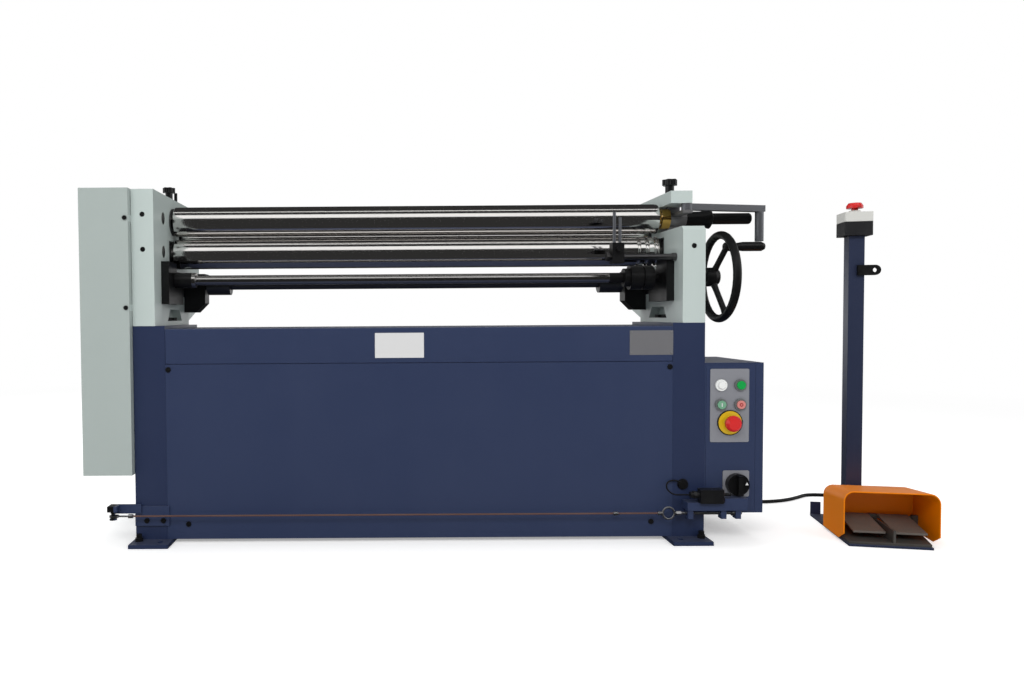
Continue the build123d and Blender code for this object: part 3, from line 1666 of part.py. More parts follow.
def make_pedestal_stop():
    half = stop_box_w / 2
    top = post_top_z + stop_box_h
    place = (post_x, post_y)
    with BuildPart() as pedestal_stop_box:
        low = (post_x - half, post_y - half, post_top_z)
        block(low, (post_x + half, post_y + half, top))
        fillet(pedestal_stop_box.edges().filter_by(Axis.Z), stop_box_fillet)
        rod(level(top), place, stop_collar_r, post_collar_h)
        bore_l = post_collar_h + stop_stem_l
        rod(level(top + post_collar_h), place, cap_stem_r + clear, -bore_l, Mode.SUBTRACT)
    stand(pedestal_stop_box, "pedestal_stop_box")
    with BuildPart() as pedestal_stop_head:
        mushroom(level(top + post_collar_h + stop_gap), place, stop_stem_l)
    stand(pedestal_stop_head, "pedestal_stop_head")


def make_pedal_guard():
    half_w = guard_w / 2
    top = pedestal_t + guard_h
    with BuildPart() as pedal_guard:
        with BuildSketch(facing(guard_front)) as outline:
            with BuildLine():
                corners = [(-half_w, pedestal_t), (half_w, pedestal_t), (half_w, top), (-half_w, top)]
                Polyline(corners, close=True)
            make_face()
            fillet(outline.vertices().group_by(Axis.Y)[-1], guard_corner)
        extrude(outline.sketch, amount=-guard_d)
        inside = half_w - guard_wall
        with BuildSketch(facing(guard_front)) as hollow:
            with BuildLine():
                roof = top - guard_wall
                corners = [(-inside, pedestal_t), (inside, pedestal_t), (inside, roof), (-inside, roof)]
                Polyline(corners, close=True)
            make_face()
            fillet(hollow.vertices().group_by(Axis.Y)[-1], guard_corner - guard_wall)
        extrude(hollow.sketch, amount=guard_wall - guard_d, mode=Mode.SUBTRACT)
        cut = [
            (guard_front, pedestal_t),
            (guard_front + guard_foot_cut, pedestal_t),
            (guard_front, pedestal_t + guard_foot_cut),
        ]
        prism(across(-half_w), cut, guard_w, Mode.SUBTRACT)
    stand(pedal_guard, "pedal_guard")


def make_pedals():
    half_w = guard_w / 2 - guard_wall
    rear = guard_front + guard_d - guard_wall
    base_top = pedestal_t + pedal_base_t
    with BuildPart() as pedal_base:
        block((-half_w, pedal_base_front, pedestal_t), (half_w, rear, base_top))
        half_rib = pedal_rib_w / 2
        low = (-half_rib, pedal_base_front, base_top)
        block(low, (half_rib, hinge_y, base_top + pedal_rib_h))
        ear_top = hinge_z + hinge_r
        ears = [
            (-half_w, -pedal_gap - pedal_w - clear),
            (-pedal_gap + clear, pedal_gap - clear),
            (pedal_gap + pedal_w + clear, half_w),
        ]
        for left, right in ears:
            block((left, hinge_y - hinge_r, base_top), (right, hinge_y + hinge_r, ear_top))
        rod(across(-half_w), (hinge_y, hinge_z), hinge_pin_r, 2 * half_w)
        middle = pedal_gap + pedal_w / 2
        cup_y = hinge_y - pedal_cup_share * pedal_l
        for x in (-middle, middle):
            rod(level(base_top), (x, cup_y), pedal_cup_r, pedal_cup_h)
    stand(pedal_base, "pedal_base")
    top_z = hinge_z + hinge_r
    front_z = top_z - pedal_slope
    profile = [
        (hinge_y - pedal_l, front_z - pedal_t),
        (hinge_y, top_z - pedal_t),
        (hinge_y, top_z),
        (hinge_y - pedal_l, front_z),
    ]
    for name, left in (("left_pedal", -pedal_gap - pedal_w), ("right_pedal", pedal_gap)):
        with BuildPart() as pedal:
            prism(across(left), profile, pedal_w)
            rod(across(left), (hinge_y, hinge_z), hinge_r, pedal_w)
            rod(across(left), (hinge_y, hinge_z), hinge_pin_r + fit, pedal_w, Mode.SUBTRACT)
        stand(pedal, name)


# Glands, the grommet beside the rope switch, and the hook that keeps spare cable
def pedal_gland_end(reach):
    y = guard_front + guard_d + gland_l + reach
    local = Location((pedal_gland_x, y, pedal_gland_z))
    return (pedestal_location() * local).position


def make_cable_fittings():
    rear = guard_front + guard_d
    with BuildPart() as pedal_fittings:
        place = (pedal_gland_x, pedal_gland_z)
        rod(facing(rear), place, gland_r, -gland_l)
        stud(facing(rear), place, gland_nut_r, -gland_nut_l)
        front = post_y - post_w / 2
        end = post_x + post_w / 2 + hook_reach
        half = hook_h / 2
        with BuildSketch(facing(front)) as hook:
            with Locations(((post_x + end - half) / 2, hook_z)):
                Rectangle(end - half - post_x, hook_h)
            with Locations((end - half, hook_z)):
                Circle(half)
                Circle(hook_hole_r, mode=Mode.SUBTRACT)
        extrude(hook.sketch, amount=hook_t)
    with BuildPart() as cable_fittings:
        add(pedal_fittings.part.moved(pedestal_location()))
        place = (box_x + box_gland_inset, box_gland_z)
        rod(facing(box_back_y), place, gland_r, -gland_l)
        stud(facing(box_back_y), place, gland_nut_r, -gland_nut_l)
        with BuildSketch(facing(front_y)) as grommet:
            with Locations((grommet_x, grommet_z)):
                Circle(grommet_r)
        extrude(grommet.sketch, amount=grommet_h, taper=sheet_bolt_taper)
    save(cable_fittings, "cable_fittings")


# Cables: straight runs with tangent arcs between them, and the coil as one tube
def bend_radii(points):
    radii = []
    for a, b, c in zip(points, points[1:], points[2:]):
        before, after = b - a, c - b
        turn = radians(before.get_angle(after))
        shorter = min(before.length, after.length)
        radii.append(bend_share * shorter / tan(turn / 2))
    return radii


def make_tube(name, points, radius):
    radii = bend_radii(points)
    with BuildPart() as tube:
        with BuildLine() as route:
            FilletPolyline(*points, radius=radii)
        with BuildSketch(Plane(origin=points[0], z_dir=points[1] - points[0])):
            Circle(radius)
        sweep(path=route.wires()[0])
    full = pi * radius**2 * route.wires()[0].length
    ratio = round(tube.part.volume / full, 4)
    runs = [round((b - a).length) for a, b in zip(points, points[1:])]
    print(name, "runs", runs, "radii", [round(r) for r in radii], "volume ratio", ratio)
    save(tube, name)


def coil_ends():
    start = Vector(coil_x + coil_stub, coil_y, coil_z)
    end = Vector(coil_x + coil_stub, coil_y - 2 * coil_outer_r, coil_z + coil_layer)
    return start, end


def least_gap(route, radius):
    # Between the turns: points less than half an inner turn apart along the cable are left out
    count = int(route.length / coil_sample)
    points = [route.position_at(k / count) for k in range(count + 1)]
    skip = int(2 * (coil_outer_r - coil_half_turns * coil_pitch / 2) / coil_sample)
    gaps = []
    for k, point in enumerate(points):
        gaps += [(other - point).length for other in points[k + skip :]]
    return min(gaps) - 2 * radius


def make_coil():
    # Spirals in, climbs one layer in its innermost half turn, and spirals out on top
    start, end = coil_ends()
    radii = [coil_outer_r - k * coil_pitch / 2 for k in range(coil_half_turns)]
    climb_r = coil_outer_r - coil_half_turns * coil_pitch / 2
    with BuildPart() as cable_coil:
        with BuildLine() as route:
            at = Vector(coil_x, coil_y, coil_z)
            Line(start, at)
            heading = Vector(-1, 0, 0)
            for radius in radii:
                target = at + Vector(0, 2 * radius * heading.X, 0)
                TangentArc(at, target, tangent=heading)
                at, heading = target, -heading
            target = at + Vector(0, 2 * climb_r * heading.X, coil_layer)
            reach = sqrt(climb_r**2 + coil_layer**2 / 4)
            joint = (at + target) / 2 + heading * reach
            TangentArc(at, joint, tangent=heading)
            TangentArc(joint, target, tangent=(target - at).normalized())
            at, heading = target, -heading
            for radius in reversed(radii):
                target = at + Vector(0, 2 * radius * heading.X, 0)
                TangentArc(at, target, tangent=heading)
                at, heading = target, -heading
            Line(at, end)
        with BuildSketch(Plane(origin=start, z_dir=(-1, 0, 0))):
            Circle(cable_r)
        sweep(path=route.wires()[0])
    path = route.wires()[0]
    ratio = round(cable_coil.part.volume / (pi * cable_r**2 * path.length), 4)
    gap = round(least_gap(path, cable_r), 2)
    print("cable_coil length", round(path.length), "least gap", gap, "volume ratio", ratio)
    save(cable_coil, "cable_coil")


def make_cables():
    coil_start, coil_end = coil_ends()
    gland = Vector(box_x + box_gland_inset, box_back_y + gland_l, box_gland_z)
    points = [gland] + [gland + Vector(*step) for step in from_box]
    points += [coil_start + Vector(*step) for step in to_coil] + [coil_start]
    make_tube("box_cable", points, cable_r)
    pedal_end = pedal_gland_end(0)
    points = [coil_end] + [coil_end + Vector(*step) for step in from_coil]
    points += [pedal_end + Vector(*step) for step in to_pedal]
    points += [pedal_gland_end(pedal_lead), pedal_end]
    make_tube("pedal_cable", points, cable_r)
    lead_start = Vector(switch_body_x - lead_gland_l, switch_body_y, lead_gland_z)
    lead_end = Vector(grommet_x, front_y - grommet_h / 2, grommet_z)
    points = [lead_start] + [Vector(*bend) for bend in lead_bends] + [lead_end]
    make_tube("switch_lead", points, lead_r)


make_left_housing()
make_right_housing()
make_columns()
make_bed_beam()
make_cabinet_panels()
make_gear_cover()
make_frame_hardware()
make_upper_roll()
make_lower_rolls()
make_bearing_blocks()
make_gears()
make_upper_drive_sleeve()
make_motor_shaft()
make_drive_chain()
make_gearmotor()
make_worm_boxes()
make_front_shaft()
make_rear_shaft()
make_worm_wheels()
make_swing_bearing()
make_lock_lever()
make_star_knobs()
make_handwheel()
make_side_guide()
make_control_box()
make_operator_plates()
make_buttons()
make_stop_and_switch()
make_wire_brackets()
make_pull_wire()
make_rope_switch()
make_pedestal_stand()
make_pedestal_stop()
make_pedal_guard()
make_pedals()
make_cable_fittings()
make_coil()
make_cables()
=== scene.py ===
import json
import math
import bpy
import bmesh
from mathutils import Matrix, Vector


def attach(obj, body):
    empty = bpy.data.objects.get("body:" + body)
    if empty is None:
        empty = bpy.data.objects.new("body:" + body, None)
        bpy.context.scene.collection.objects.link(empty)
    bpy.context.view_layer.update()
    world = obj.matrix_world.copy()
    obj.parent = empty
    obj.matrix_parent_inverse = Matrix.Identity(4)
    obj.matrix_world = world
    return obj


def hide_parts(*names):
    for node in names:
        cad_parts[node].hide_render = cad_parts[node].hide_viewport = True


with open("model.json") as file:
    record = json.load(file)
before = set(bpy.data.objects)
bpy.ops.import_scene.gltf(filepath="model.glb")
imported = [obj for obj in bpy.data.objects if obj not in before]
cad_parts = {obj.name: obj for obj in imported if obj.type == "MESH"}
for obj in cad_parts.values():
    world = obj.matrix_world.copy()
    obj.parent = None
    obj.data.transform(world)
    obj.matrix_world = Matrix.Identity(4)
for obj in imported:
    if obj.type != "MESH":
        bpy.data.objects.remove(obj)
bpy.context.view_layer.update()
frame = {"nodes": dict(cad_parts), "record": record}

mm = 0.001
bodyOf = {}
for bodyName, nodeNames in frame["record"]["behaviour"]["bodies"].items():
    for nodeName in nodeNames:
        bodyOf[nodeName] = bodyName
slotOf = {row["node"]: row["material_slot"] for row in frame["record"]["subparts"]}
sceneRoot = bpy.context.scene.collection

# Camera, at the photograph's place
camera = {
    "place": (-0.0719, -2.1163, 0.5697),
    "lens": 27.42,
    "shift": 0.1212,
    "yaw": -0.0027,
    "pitch": 0.0328,
    "roll": 0.0065,
    "farthest": 60,
}


def placeCamera(spec):
    data = bpy.data.cameras.new("photoCamera")
    data.lens = spec["lens"]
    data.shift_x = spec["shift"]
    data.clip_end = spec["farthest"]
    eye = bpy.data.objects.new("photoCamera", data)
    turn = Matrix.Rotation(-spec["yaw"], 4, "Z") @ Matrix.Rotation(math.pi / 2 - spec["pitch"], 4, "X")
    eye.matrix_world = Matrix.Translation(spec["place"]) @ turn @ Matrix.Rotation(-spec["roll"], 4, "Z")
    sceneRoot.objects.link(eye)
    bpy.context.scene.camera = eye


placeCamera(camera)
bpy.context.scene.view_settings.view_transform = "Standard"
print("camera placed")


# Node groups shared by the finishes
def newGroup(name, inputs, outputs):
    group = bpy.data.node_groups.new(name, "ShaderNodeTree")
    for label, kind, value in inputs:
        socket = group.interface.new_socket(label, in_out="INPUT", socket_type=kind)
        socket.default_value = value
    for label, kind in outputs:
        group.interface.new_socket(label, in_out="OUTPUT", socket_type=kind)
    ins = group.nodes.new("NodeGroupInput")
    outs = group.nodes.new("NodeGroupOutput")
    return group, ins, outs


def addMath(tree, operation, first, second, clamp=False):
    node = tree.nodes.new("ShaderNodeMath")
    node.operation = operation
    node.use_clamp = clamp
    for socket, value in zip(node.inputs, (first, second)):
        if isinstance(value, (int, float)):
            socket.default_value = value
        else:
            tree.links.new(value, socket)
    return node.outputs[0]


def addNoise(tree, vector, scale, detail, roughness):
    node = tree.nodes.new("ShaderNodeTexNoise")
    node.inputs["Detail"].default_value = detail
    node.inputs["Roughness"].default_value = roughness
    tree.links.new(vector, node.inputs["Vector"])
    if isinstance(scale, (int, float)):
        node.inputs["Scale"].default_value = scale
    else:
        tree.links.new(scale, node.inputs["Scale"])
    return node.outputs["Fac"]


def addMix(tree, fac, first, second):
    node = tree.nodes.new("ShaderNodeMix")
    node.data_type = "RGBA"
    for socket, value in zip((node.inputs[0], node.inputs[6], node.inputs[7]), (fac, first, second)):
        tree.links.new(value, socket)
    return node.outputs[2]


def addRange(tree, value, low, high):
    node = tree.nodes.new("ShaderNodeMapRange")
    node.inputs["To Min"].default_value = low
    node.inputs["To Max"].default_value = high
    tree.links.new(value, node.inputs["Value"])
    return node.outputs[0]


noiseMiddle = 0.5

# Sprayed and baked enamel: fine orange peel, cloudy gloss, a little settled dust. Each noise is
# given as scale, detail and roughness, or without the scale where a finish sets it
enamel = {
    "cloud": (3.2, 4, 0.6),
    "cloudShare": 0.7,
    "runs": (1.0, 3, 0.55),
    "runsShare": 0.3,
    "runsStretch": (14, 14, 1.4),
    "specks": (90.0, 3, 0.7),
    "dustFocus": 3.0,
    "smear": 0.35,
    "peel": (1, 0.4),
}


def makeSprayedGroup(look):
    group, ins, outs = newGroup(
        "sprayedEnamel",
        [
            ("Color", "NodeSocketColor", (0.5, 0.5, 0.5, 1)),
            ("Dust", "NodeSocketColor", (0.5, 0.48, 0.44, 1)),
            ("Peel Scale", "NodeSocketFloat", 260.0),
            ("Cloud", "NodeSocketFloat", 0.12),
            ("Gloss", "NodeSocketFloat", 0.35),
            ("Dust Amount", "NodeSocketFloat", 0.12),
        ],
        [("Color", "NodeSocketColor"), ("Roughness", "NodeSocketFloat"), ("Height", "NodeSocketFloat")],
    )
    place = group.nodes.new("ShaderNodeTexCoord").outputs["Object"]
    cloud = addMath(group, "MULTIPLY", addNoise(group, place, *look["cloud"]), look["cloudShare"])
    streak = group.nodes.new("ShaderNodeMapping")
    streak.inputs["Scale"].default_value = look["runsStretch"]
    group.links.new(place, streak.inputs["Vector"])
    runs = addMath(group, "MULTIPLY", addNoise(group, streak.outputs[0], *look["runs"]), look["runsShare"])
    both = addMath(group, "SUBTRACT", addMath(group, "ADD", cloud, runs), noiseMiddle)
    shade = addMath(group, "MULTIPLY", both, ins.outputs["Cloud"])
    bright = group.nodes.new("ShaderNodeHueSaturation")
    group.links.new(addMath(group, "ADD", shade, 1.0), bright.inputs["Value"])
    group.links.new(ins.outputs["Color"], bright.inputs["Color"])
    up = group.nodes.new("ShaderNodeSeparateXYZ")
    group.links.new(group.nodes.new("ShaderNodeNewGeometry").outputs["Normal"], up.inputs[0])
    facing = addMath(group, "POWER", addMath(group, "MAXIMUM", up.outputs["Z"], 0.0), look["dustFocus"])
    specks = addNoise(group, place, *look["specks"])
    dusty = addMath(group, "MULTIPLY", addMath(group, "MULTIPLY", facing, specks), ins.outputs["Dust Amount"])
    group.links.new(addMix(group, dusty, bright.outputs[0], ins.outputs["Dust"]), outs.inputs["Color"])
    smear = addMath(group, "MULTIPLY", both, look["smear"])
    rough = addMath(group, "ADD", addMath(group, "ADD", ins.outputs["Gloss"], smear), dusty, True)
    group.links.new(rough, outs.inputs["Roughness"])
    peel = addNoise(group, place, ins.outputs["Peel Scale"], *look["peel"])
    group.links.new(peel, outs.inputs["Height"])
    return group


# Turned or ground metal: fine rings across the axis, with oily smears
turned = {
    "ringsStretch": (1, 0.03, 0.03),
    "rings": (2, 0.6),
    "ringsDepth": 0.18,
    "smears": (9.0, 5, 0.62),
    "filmRange": (-0.6, 1.6),
}


def makeTurnedGroup(look):
    group, ins, outs = newGroup(
        "groundMetal",
        [
            ("Color", "NodeSocketColor", (0.6, 0.6, 0.6, 1)),
            ("Film", "NodeSocketColor", (0.3, 0.27, 0.22, 1)),
            ("Rings", "NodeSocketFloat", 900.0),
            ("Gloss", "NodeSocketFloat", 0.25),
            ("Film Amount", "NodeSocketFloat", 0.15),
        ],
        [("Color", "NodeSocketColor"), ("Roughness", "NodeSocketFloat"), ("Height", "NodeSocketFloat")],
    )
    place = group.nodes.new("ShaderNodeTexCoord").outputs["Object"]
    stretch = group.nodes.new("ShaderNodeMapping")
    stretch.inputs["Scale"].default_value = look["ringsStretch"]
    group.links.new(place, stretch.inputs["Vector"])
    rings = addNoise(group, stretch.outputs[0], ins.outputs["Rings"], *look["rings"])
    smears = addRange(group, addNoise(group, place, *look["smears"]), *look["filmRange"])
    film = addMath(group, "MULTIPLY", smears, ins.outputs["Film Amount"], True)
    group.links.new(addMix(group, film, ins.outputs["Color"], ins.outputs["Film"]), outs.inputs["Color"])
    lines = addMath(group, "MULTIPLY", addMath(group, "SUBTRACT", rings, noiseMiddle), look["ringsDepth"])
    rough = addMath(group, "ADD", addMath(group, "ADD", ins.outputs["Gloss"], lines), film, True)
    group.links.new(rough, outs.inputs["Roughness"])
    group.links.new(rings, outs.inputs["Height"])
    return group


# Moulded plastic, rubber and as-cast iron: a fine grain and faint scuffs
moulded = {
    "grain": (3, 0.6),
    "scuffs": (22.0, 4, 0.65),
    "scuffRange": (-0.8, 1.8),
    "scuffGloss": 0.5,
}


def makeMouldedGroup(look):
    group, ins, outs = newGroup(
        "mouldedGrain",
        [
            ("Color", "NodeSocketColor", (0.1, 0.1, 0.1, 1)),
            ("Scuff", "NodeSocketColor", (0.2, 0.2, 0.2, 1)),
            ("Grain Scale", "NodeSocketFloat", 500.0),
            ("Gloss", "NodeSocketFloat", 0.4),
            ("Scuff Amount", "NodeSocketFloat", 0.2),
        ],
        [("Color", "NodeSocketColor"), ("Roughness", "NodeSocketFloat"), ("Height", "NodeSocketFloat")],
    )
    place = group.nodes.new("ShaderNodeTexCoord").outputs["Object"]
    grain = addNoise(group, place, ins.outputs["Grain Scale"], *look["grain"])
    wide = addRange(group, addNoise(group, place, *look["scuffs"]), *look["scuffRange"])
    scuff = addMath(group, "MULTIPLY", wide, ins.outputs["Scuff Amount"], True)
    group.links.new(addMix(group, scuff, ins.outputs["Color"], ins.outputs["Scuff"]), outs.inputs["Color"])
    dull = addMath(group, "MULTIPLY", scuff, look["scuffGloss"])
    rough = addMath(group, "ADD", ins.outputs["Gloss"], dull, True)
    group.links.new(rough, outs.inputs["Roughness"])
    group.links.new(grain, outs.inputs["Height"])
    return group


skins = {
    "sprayed": makeSprayedGroup(enamel),
    "ground": makeTurnedGroup(turned),
    "moulded": makeMouldedGroup(moulded),
}

finishes = {
    "castPaint": {
        "skin": "sprayed", "color": (0.46, 0.525, 0.505), "gloss": 0.38, "cloud": 0.10, "bump": 0.10,
        "coat": 0.10,
    },
    # The gear cover's paint: the housings' paint made darker, as painted shade
    "shadedCoverPaint": {
        "skin": "sprayed", "color": (0.36, 0.41, 0.393), "gloss": 0.38, "cloud": 0.10, "bump": 0.08,
        "coat": 0.05,
    },
    "cabinetPaint": {
        "skin": "sprayed", "color": (0.0255, 0.039, 0.093), "gloss": 0.36, "cloud": 0.25, "bump": 0.14,
        "coat": 0.1,
    },
    # The columns' paint: the cabinet paint made darker, as painted shade for less light at the ends
    "shadedColumnPaint": {
        "skin": "sprayed", "color": (0.018, 0.029, 0.076), "gloss": 0.38, "cloud": 0.25, "bump": 0.14,
        "coat": 0.05,
    },
    "guardPaint": {
        "skin": "sprayed", "color": (0.78, 0.205, 0.0), "gloss": 0.38, "cloud": 0.12, "bump": 0.12,
        "specular": 0.15,
    },
    "standPaint": {
        "skin": "sprayed", "color": (0.019, 0.027, 0.062), "gloss": 0.38, "cloud": 0.22, "bump": 0.14,
        "coat": 0.05,
    },
    "motorPaint": {
        "skin": "sprayed", "color": (0.10, 0.16, 0.26), "gloss": 0.38, "cloud": 0.2, "bump": 0.15,
        "coat": 0.1,
    },
    "rollSteel": {
        "skin": "ground", "color": (0.86, 0.84, 0.82), "gloss": 0.09, "film": 0.05, "bump": 0.02,
        "metal": 1.0,
    },
    "shaftSteel": {
        "skin": "ground", "color": (0.50, 0.49, 0.48), "gloss": 0.14, "film": 0.08, "bump": 0.03,
        "metal": 1.0,
    },
    "darkSteel": {
        "skin": "ground", "color": (0.15, 0.15, 0.16), "gloss": 0.32, "film": 0.25, "bump": 0.06,
        "metal": 1.0,
    },
    "zincSteel": {
        "skin": "ground", "color": (0.50, 0.50, 0.51), "gloss": 0.30, "film": 0.12, "bump": 0.05,
        "metal": 1.0,
    },
    "leverSteel": {
        "skin": "ground", "color": (0.19, 0.20, 0.225), "gloss": 0.34, "film": 0.15, "bump": 0.05,
        "metal": 0.8,
    },
    "bearingSteel": {
        "skin": "ground", "color": (0.20, 0.20, 0.21), "gloss": 0.38, "film": 0.18, "bump": 0.06,
        "metal": 0.6,
    },
    "brass": {
        "skin": "ground", "color": (0.66, 0.40, 0.10), "gloss": 0.18, "film": 0.10, "bump": 0.04,
        "metal": 1.0,
    },
    "blackIron": {
        "skin": "moulded", "color": (0.005, 0.005, 0.0055), "scuff": (0.03, 0.03, 0.03), "gloss": 0.34,
        "scuffs": 0.12, "bump": 0.12, "specular": 0.3,
    },
    "blackPlastic": {
        "skin": "moulded", "color": (0.004, 0.004, 0.0045), "scuff": (0.03, 0.03, 0.03), "gloss": 0.26,
        "scuffs": 0.12, "bump": 0.06, "specular": 0.4,
    },
    "bezelGrey": {
        "skin": "moulded", "color": (0.13, 0.14, 0.14), "scuff": (0.2, 0.2, 0.2), "gloss": 0.30,
        "scuffs": 0.10, "bump": 0.04,
    },
    "plateGrey": {
        "skin": "moulded", "color": (0.215, 0.22, 0.245), "scuff": (0.2, 0.2, 0.2), "gloss": 0.42,
        "scuffs": 0.10, "bump": 0.05,
    },
    "boxGrey": {
        "skin": "moulded", "color": (0.60, 0.60, 0.57), "scuff": (0.4, 0.4, 0.38), "gloss": 0.40,
        "scuffs": 0.10, "bump": 0.05,
    },
    "boxBlack": {
        "skin": "moulded", "color": (0.012, 0.012, 0.014), "scuff": (0.06, 0.06, 0.06), "gloss": 0.42,
        "scuffs": 0.10, "bump": 0.06,
    },
    "switchGrey": {
        "skin": "moulded", "color": (0.006, 0.006, 0.007), "scuff": (0.04, 0.04, 0.04), "gloss": 0.34,
        "scuffs": 0.12, "bump": 0.08, "specular": 0.4,
    },
    "baseGrey": {
        "skin": "moulded", "color": (0.050, 0.046, 0.042), "scuff": (0.12, 0.11, 0.10), "gloss": 0.50,
        "scuffs": 0.22, "bump": 0.12,
    },
    "pedalGrey": {
        "skin": "moulded", "color": (0.125, 0.108, 0.094), "scuff": (0.10, 0.09, 0.08), "gloss": 0.55,
        "scuffs": 0.25, "bump": 0.15,
    },
    "lampWhite": {
        "skin": "moulded", "color": (0.78, 0.79, 0.78), "scuff": (0.6, 0.6, 0.6), "gloss": 0.18,
        "scuffs": 0.05, "bump": 0.02, "coat": 0.6,
    },
    "buttonGreen": {
        "skin": "moulded", "color": (0.005, 0.33, 0.06), "scuff": (0.02, 0.2, 0.06), "gloss": 0.20,
        "scuffs": 0.08, "bump": 0.02, "coat": 0.6,
    },
    "buttonPaleGreen": {
        "skin": "moulded", "color": (0.16, 0.36, 0.23), "scuff": (0.12, 0.25, 0.17), "gloss": 0.22,
        "scuffs": 0.08, "bump": 0.02, "coat": 0.6,
    },
    "buttonPaleRed": {
        "skin": "moulded", "color": (0.62, 0.22, 0.20), "scuff": (0.4, 0.15, 0.13), "gloss": 0.22,
        "scuffs": 0.08, "bump": 0.02, "coat": 0.6,
    },
    "stopRed": {
        "skin": "moulded", "color": (0.62, 0.02, 0.02), "scuff": (0.35, 0.03, 0.03), "gloss": 0.24,
        "scuffs": 0.08, "bump": 0.02, "coat": 0.4,
    },
    "ringYellow": {
        "skin": "moulded", "color": (0.72, 0.46, 0.01), "scuff": (0.4, 0.26, 0.02), "gloss": 0.30,
        "scuffs": 0.10, "bump": 0.03, "coat": 0.3,
    },
    "wireCoat": {
        "skin": "moulded", "color": (0.10, 0.05, 0.04), "scuff": (0.20, 0.12, 0.10), "gloss": 0.30,
        "scuffs": 0.20, "bump": 0.05, "coat": 0.3,
    },
    "cableRubber": {
        "skin": "moulded", "color": (0.004, 0.004, 0.0045), "scuff": (0.03, 0.03, 0.03), "gloss": 0.45,
        "scuffs": 0.20, "bump": 0.10, "specular": 0.3,
    },
    "whitePlate": {
        "skin": "moulded", "color": (0.62, 0.62, 0.62), "scuff": (0.7, 0.7, 0.7), "gloss": 0.35,
        "scuffs": 0.06, "bump": 0.02,
    },
    "barePlate": {
        "skin": "ground", "color": (0.29, 0.29, 0.31), "gloss": 0.42, "film": 0.10, "bump": 0.05,
        "metal": 0.6,
    },
    "markRed": {
        "skin": "moulded", "color": (0.35, 0.02, 0.02), "scuff": (0.3, 0.05, 0.05), "gloss": 0.40,
        "scuffs": 0.08, "bump": 0.02,
    },
}
peelScale = {"castPaint": 320.0, "cabinetPaint": 240.0}
usualPeelScale = 280.0
bumpDepth = 0.001
coatRoughness = 0.15
usualSpecular = 0.5


def makeFinish(name, spec):
    material = bpy.data.materials.new(name)
    material.use_nodes = True
    tree = material.node_tree
    shader = tree.nodes["Principled BSDF"]
    skin = tree.nodes.new("ShaderNodeGroup")
    skin.node_tree = skins[spec["skin"]]
    skin.inputs["Color"].default_value = (*spec["color"], 1)
    skin.inputs["Gloss"].default_value = spec["gloss"]
    if spec["skin"] == "sprayed":
        skin.inputs["Cloud"].default_value = spec["cloud"]
        skin.inputs["Peel Scale"].default_value = peelScale.get(name, usualPeelScale)
    elif spec["skin"] == "ground":
        skin.inputs["Film Amount"].default_value = spec["film"]
    else:
        skin.inputs["Scuff"].default_value = (*spec["scuff"], 1)
        skin.inputs["Scuff Amount"].default_value = spec["scuffs"]
    bump = tree.nodes.new("ShaderNodeBump")
    bump.inputs["Strength"].default_value = spec["bump"]
    bump.inputs["Distance"].default_value = bumpDepth
    tree.links.new(skin.outputs["Height"], bump.inputs["Height"])
    tree.links.new(skin.outputs["Color"], shader.inputs["Base Color"])
    tree.links.new(skin.outputs["Roughness"], shader.inputs["Roughness"])
    tree.links.new(bump.outputs[0], shader.inputs["Normal"])
    shader.inputs["Metallic"].default_value = spec.get("metal", 0.0)
    shader.inputs["Coat Weight"].default_value = spec.get("coat", 0.0)
    shader.inputs["Coat Roughness"].default_value = coatRoughness
    shader.inputs["Specular IOR Level"].default_value = spec.get("specular", usualSpecular)
    return material


paints = {name: makeFinish(name, spec) for name, spec in finishes.items()}
print("finishes made")


# Cables: the control cable with its coil, and the lead of the pull-wire switch
cable = {
    "radius": 5 * mm,
    "fromBox": [(800, 145, 110), (800, 193, 110), (797, 238, 62), (790, 293, 5.2), (745, 362, 5.2),
                (690, 386, 5.2), (626, 376, 5.2)],
    "coilMiddle": (560, 376),
    "coilRadii": (66, 60.7, 55.4, 50.1),
    "climbRadius": 44.8,
    "coilLevels": (5.2, 15.7),
    "perHalfTurn": 8,
    "toPedal": [(612, 244, 15.7), (665, 244.5, 8), (725, 246, 5.2), (800, 252, 5.2), (885, 238, 5.2),
                (970, 214, 5.2), (1050, 208, 5.2), (1120, 226, 5.2), (1180, 266, 5.2), (1222, 300, 5.2),
                (1290, 290, 5.2), (1314, 228, 5.2), (1296, 165, 5.2), (1266, 108, 5.2), (1247, 50, 18),
                (1227.8, -8, 32)],
    "pedalEnd": (1216.6, -60.85, 32),
}
lead = {
    "radius": 1.9 * mm,
    "points": [(666, -204, 124), (648, -204, 124), (626.5, -203.5, 123.5), (613.4, -192.8, 133.2),
               (615.5, -178.4, 146.3), (631.3, -170, 154), (650.3, -172.9, 151.3), (662, -168.5, 142)],
}
cordCurve = {"order": 3, "steps": 6, "roundness": 5}


def coilPoints(spec):
    # Half turns about two centres: in along the floor, up one layer, and out on top
    low, high = spec["coilLevels"]
    radii = list(spec["coilRadii"]) + [spec["climbRadius"]] + list(reversed(spec["coilRadii"]))
    count = spec["perHalfTurn"]
    x, y = spec["coilMiddle"]
    side = -1
    points = []
    for turn, radius in enumerate(radii):
        middle = y + side * radius
        swell = 1 / math.cos(math.pi / count / 2) ** 0.5
        climbing = turn == len(spec["coilRadii"])
        for step in range(count):
            share = (step + 0.5) / count
            angle = math.pi * share
            z = low if turn < len(spec["coilRadii"]) else high
            if climbing:
                z = low + (high - low) * share
            points.append((
                x + side * radius * swell * math.sin(angle),
                middle - side * radius * swell * math.cos(angle),
                z,
            ))
        y += 2 * side * radius
        side = -side
    return points


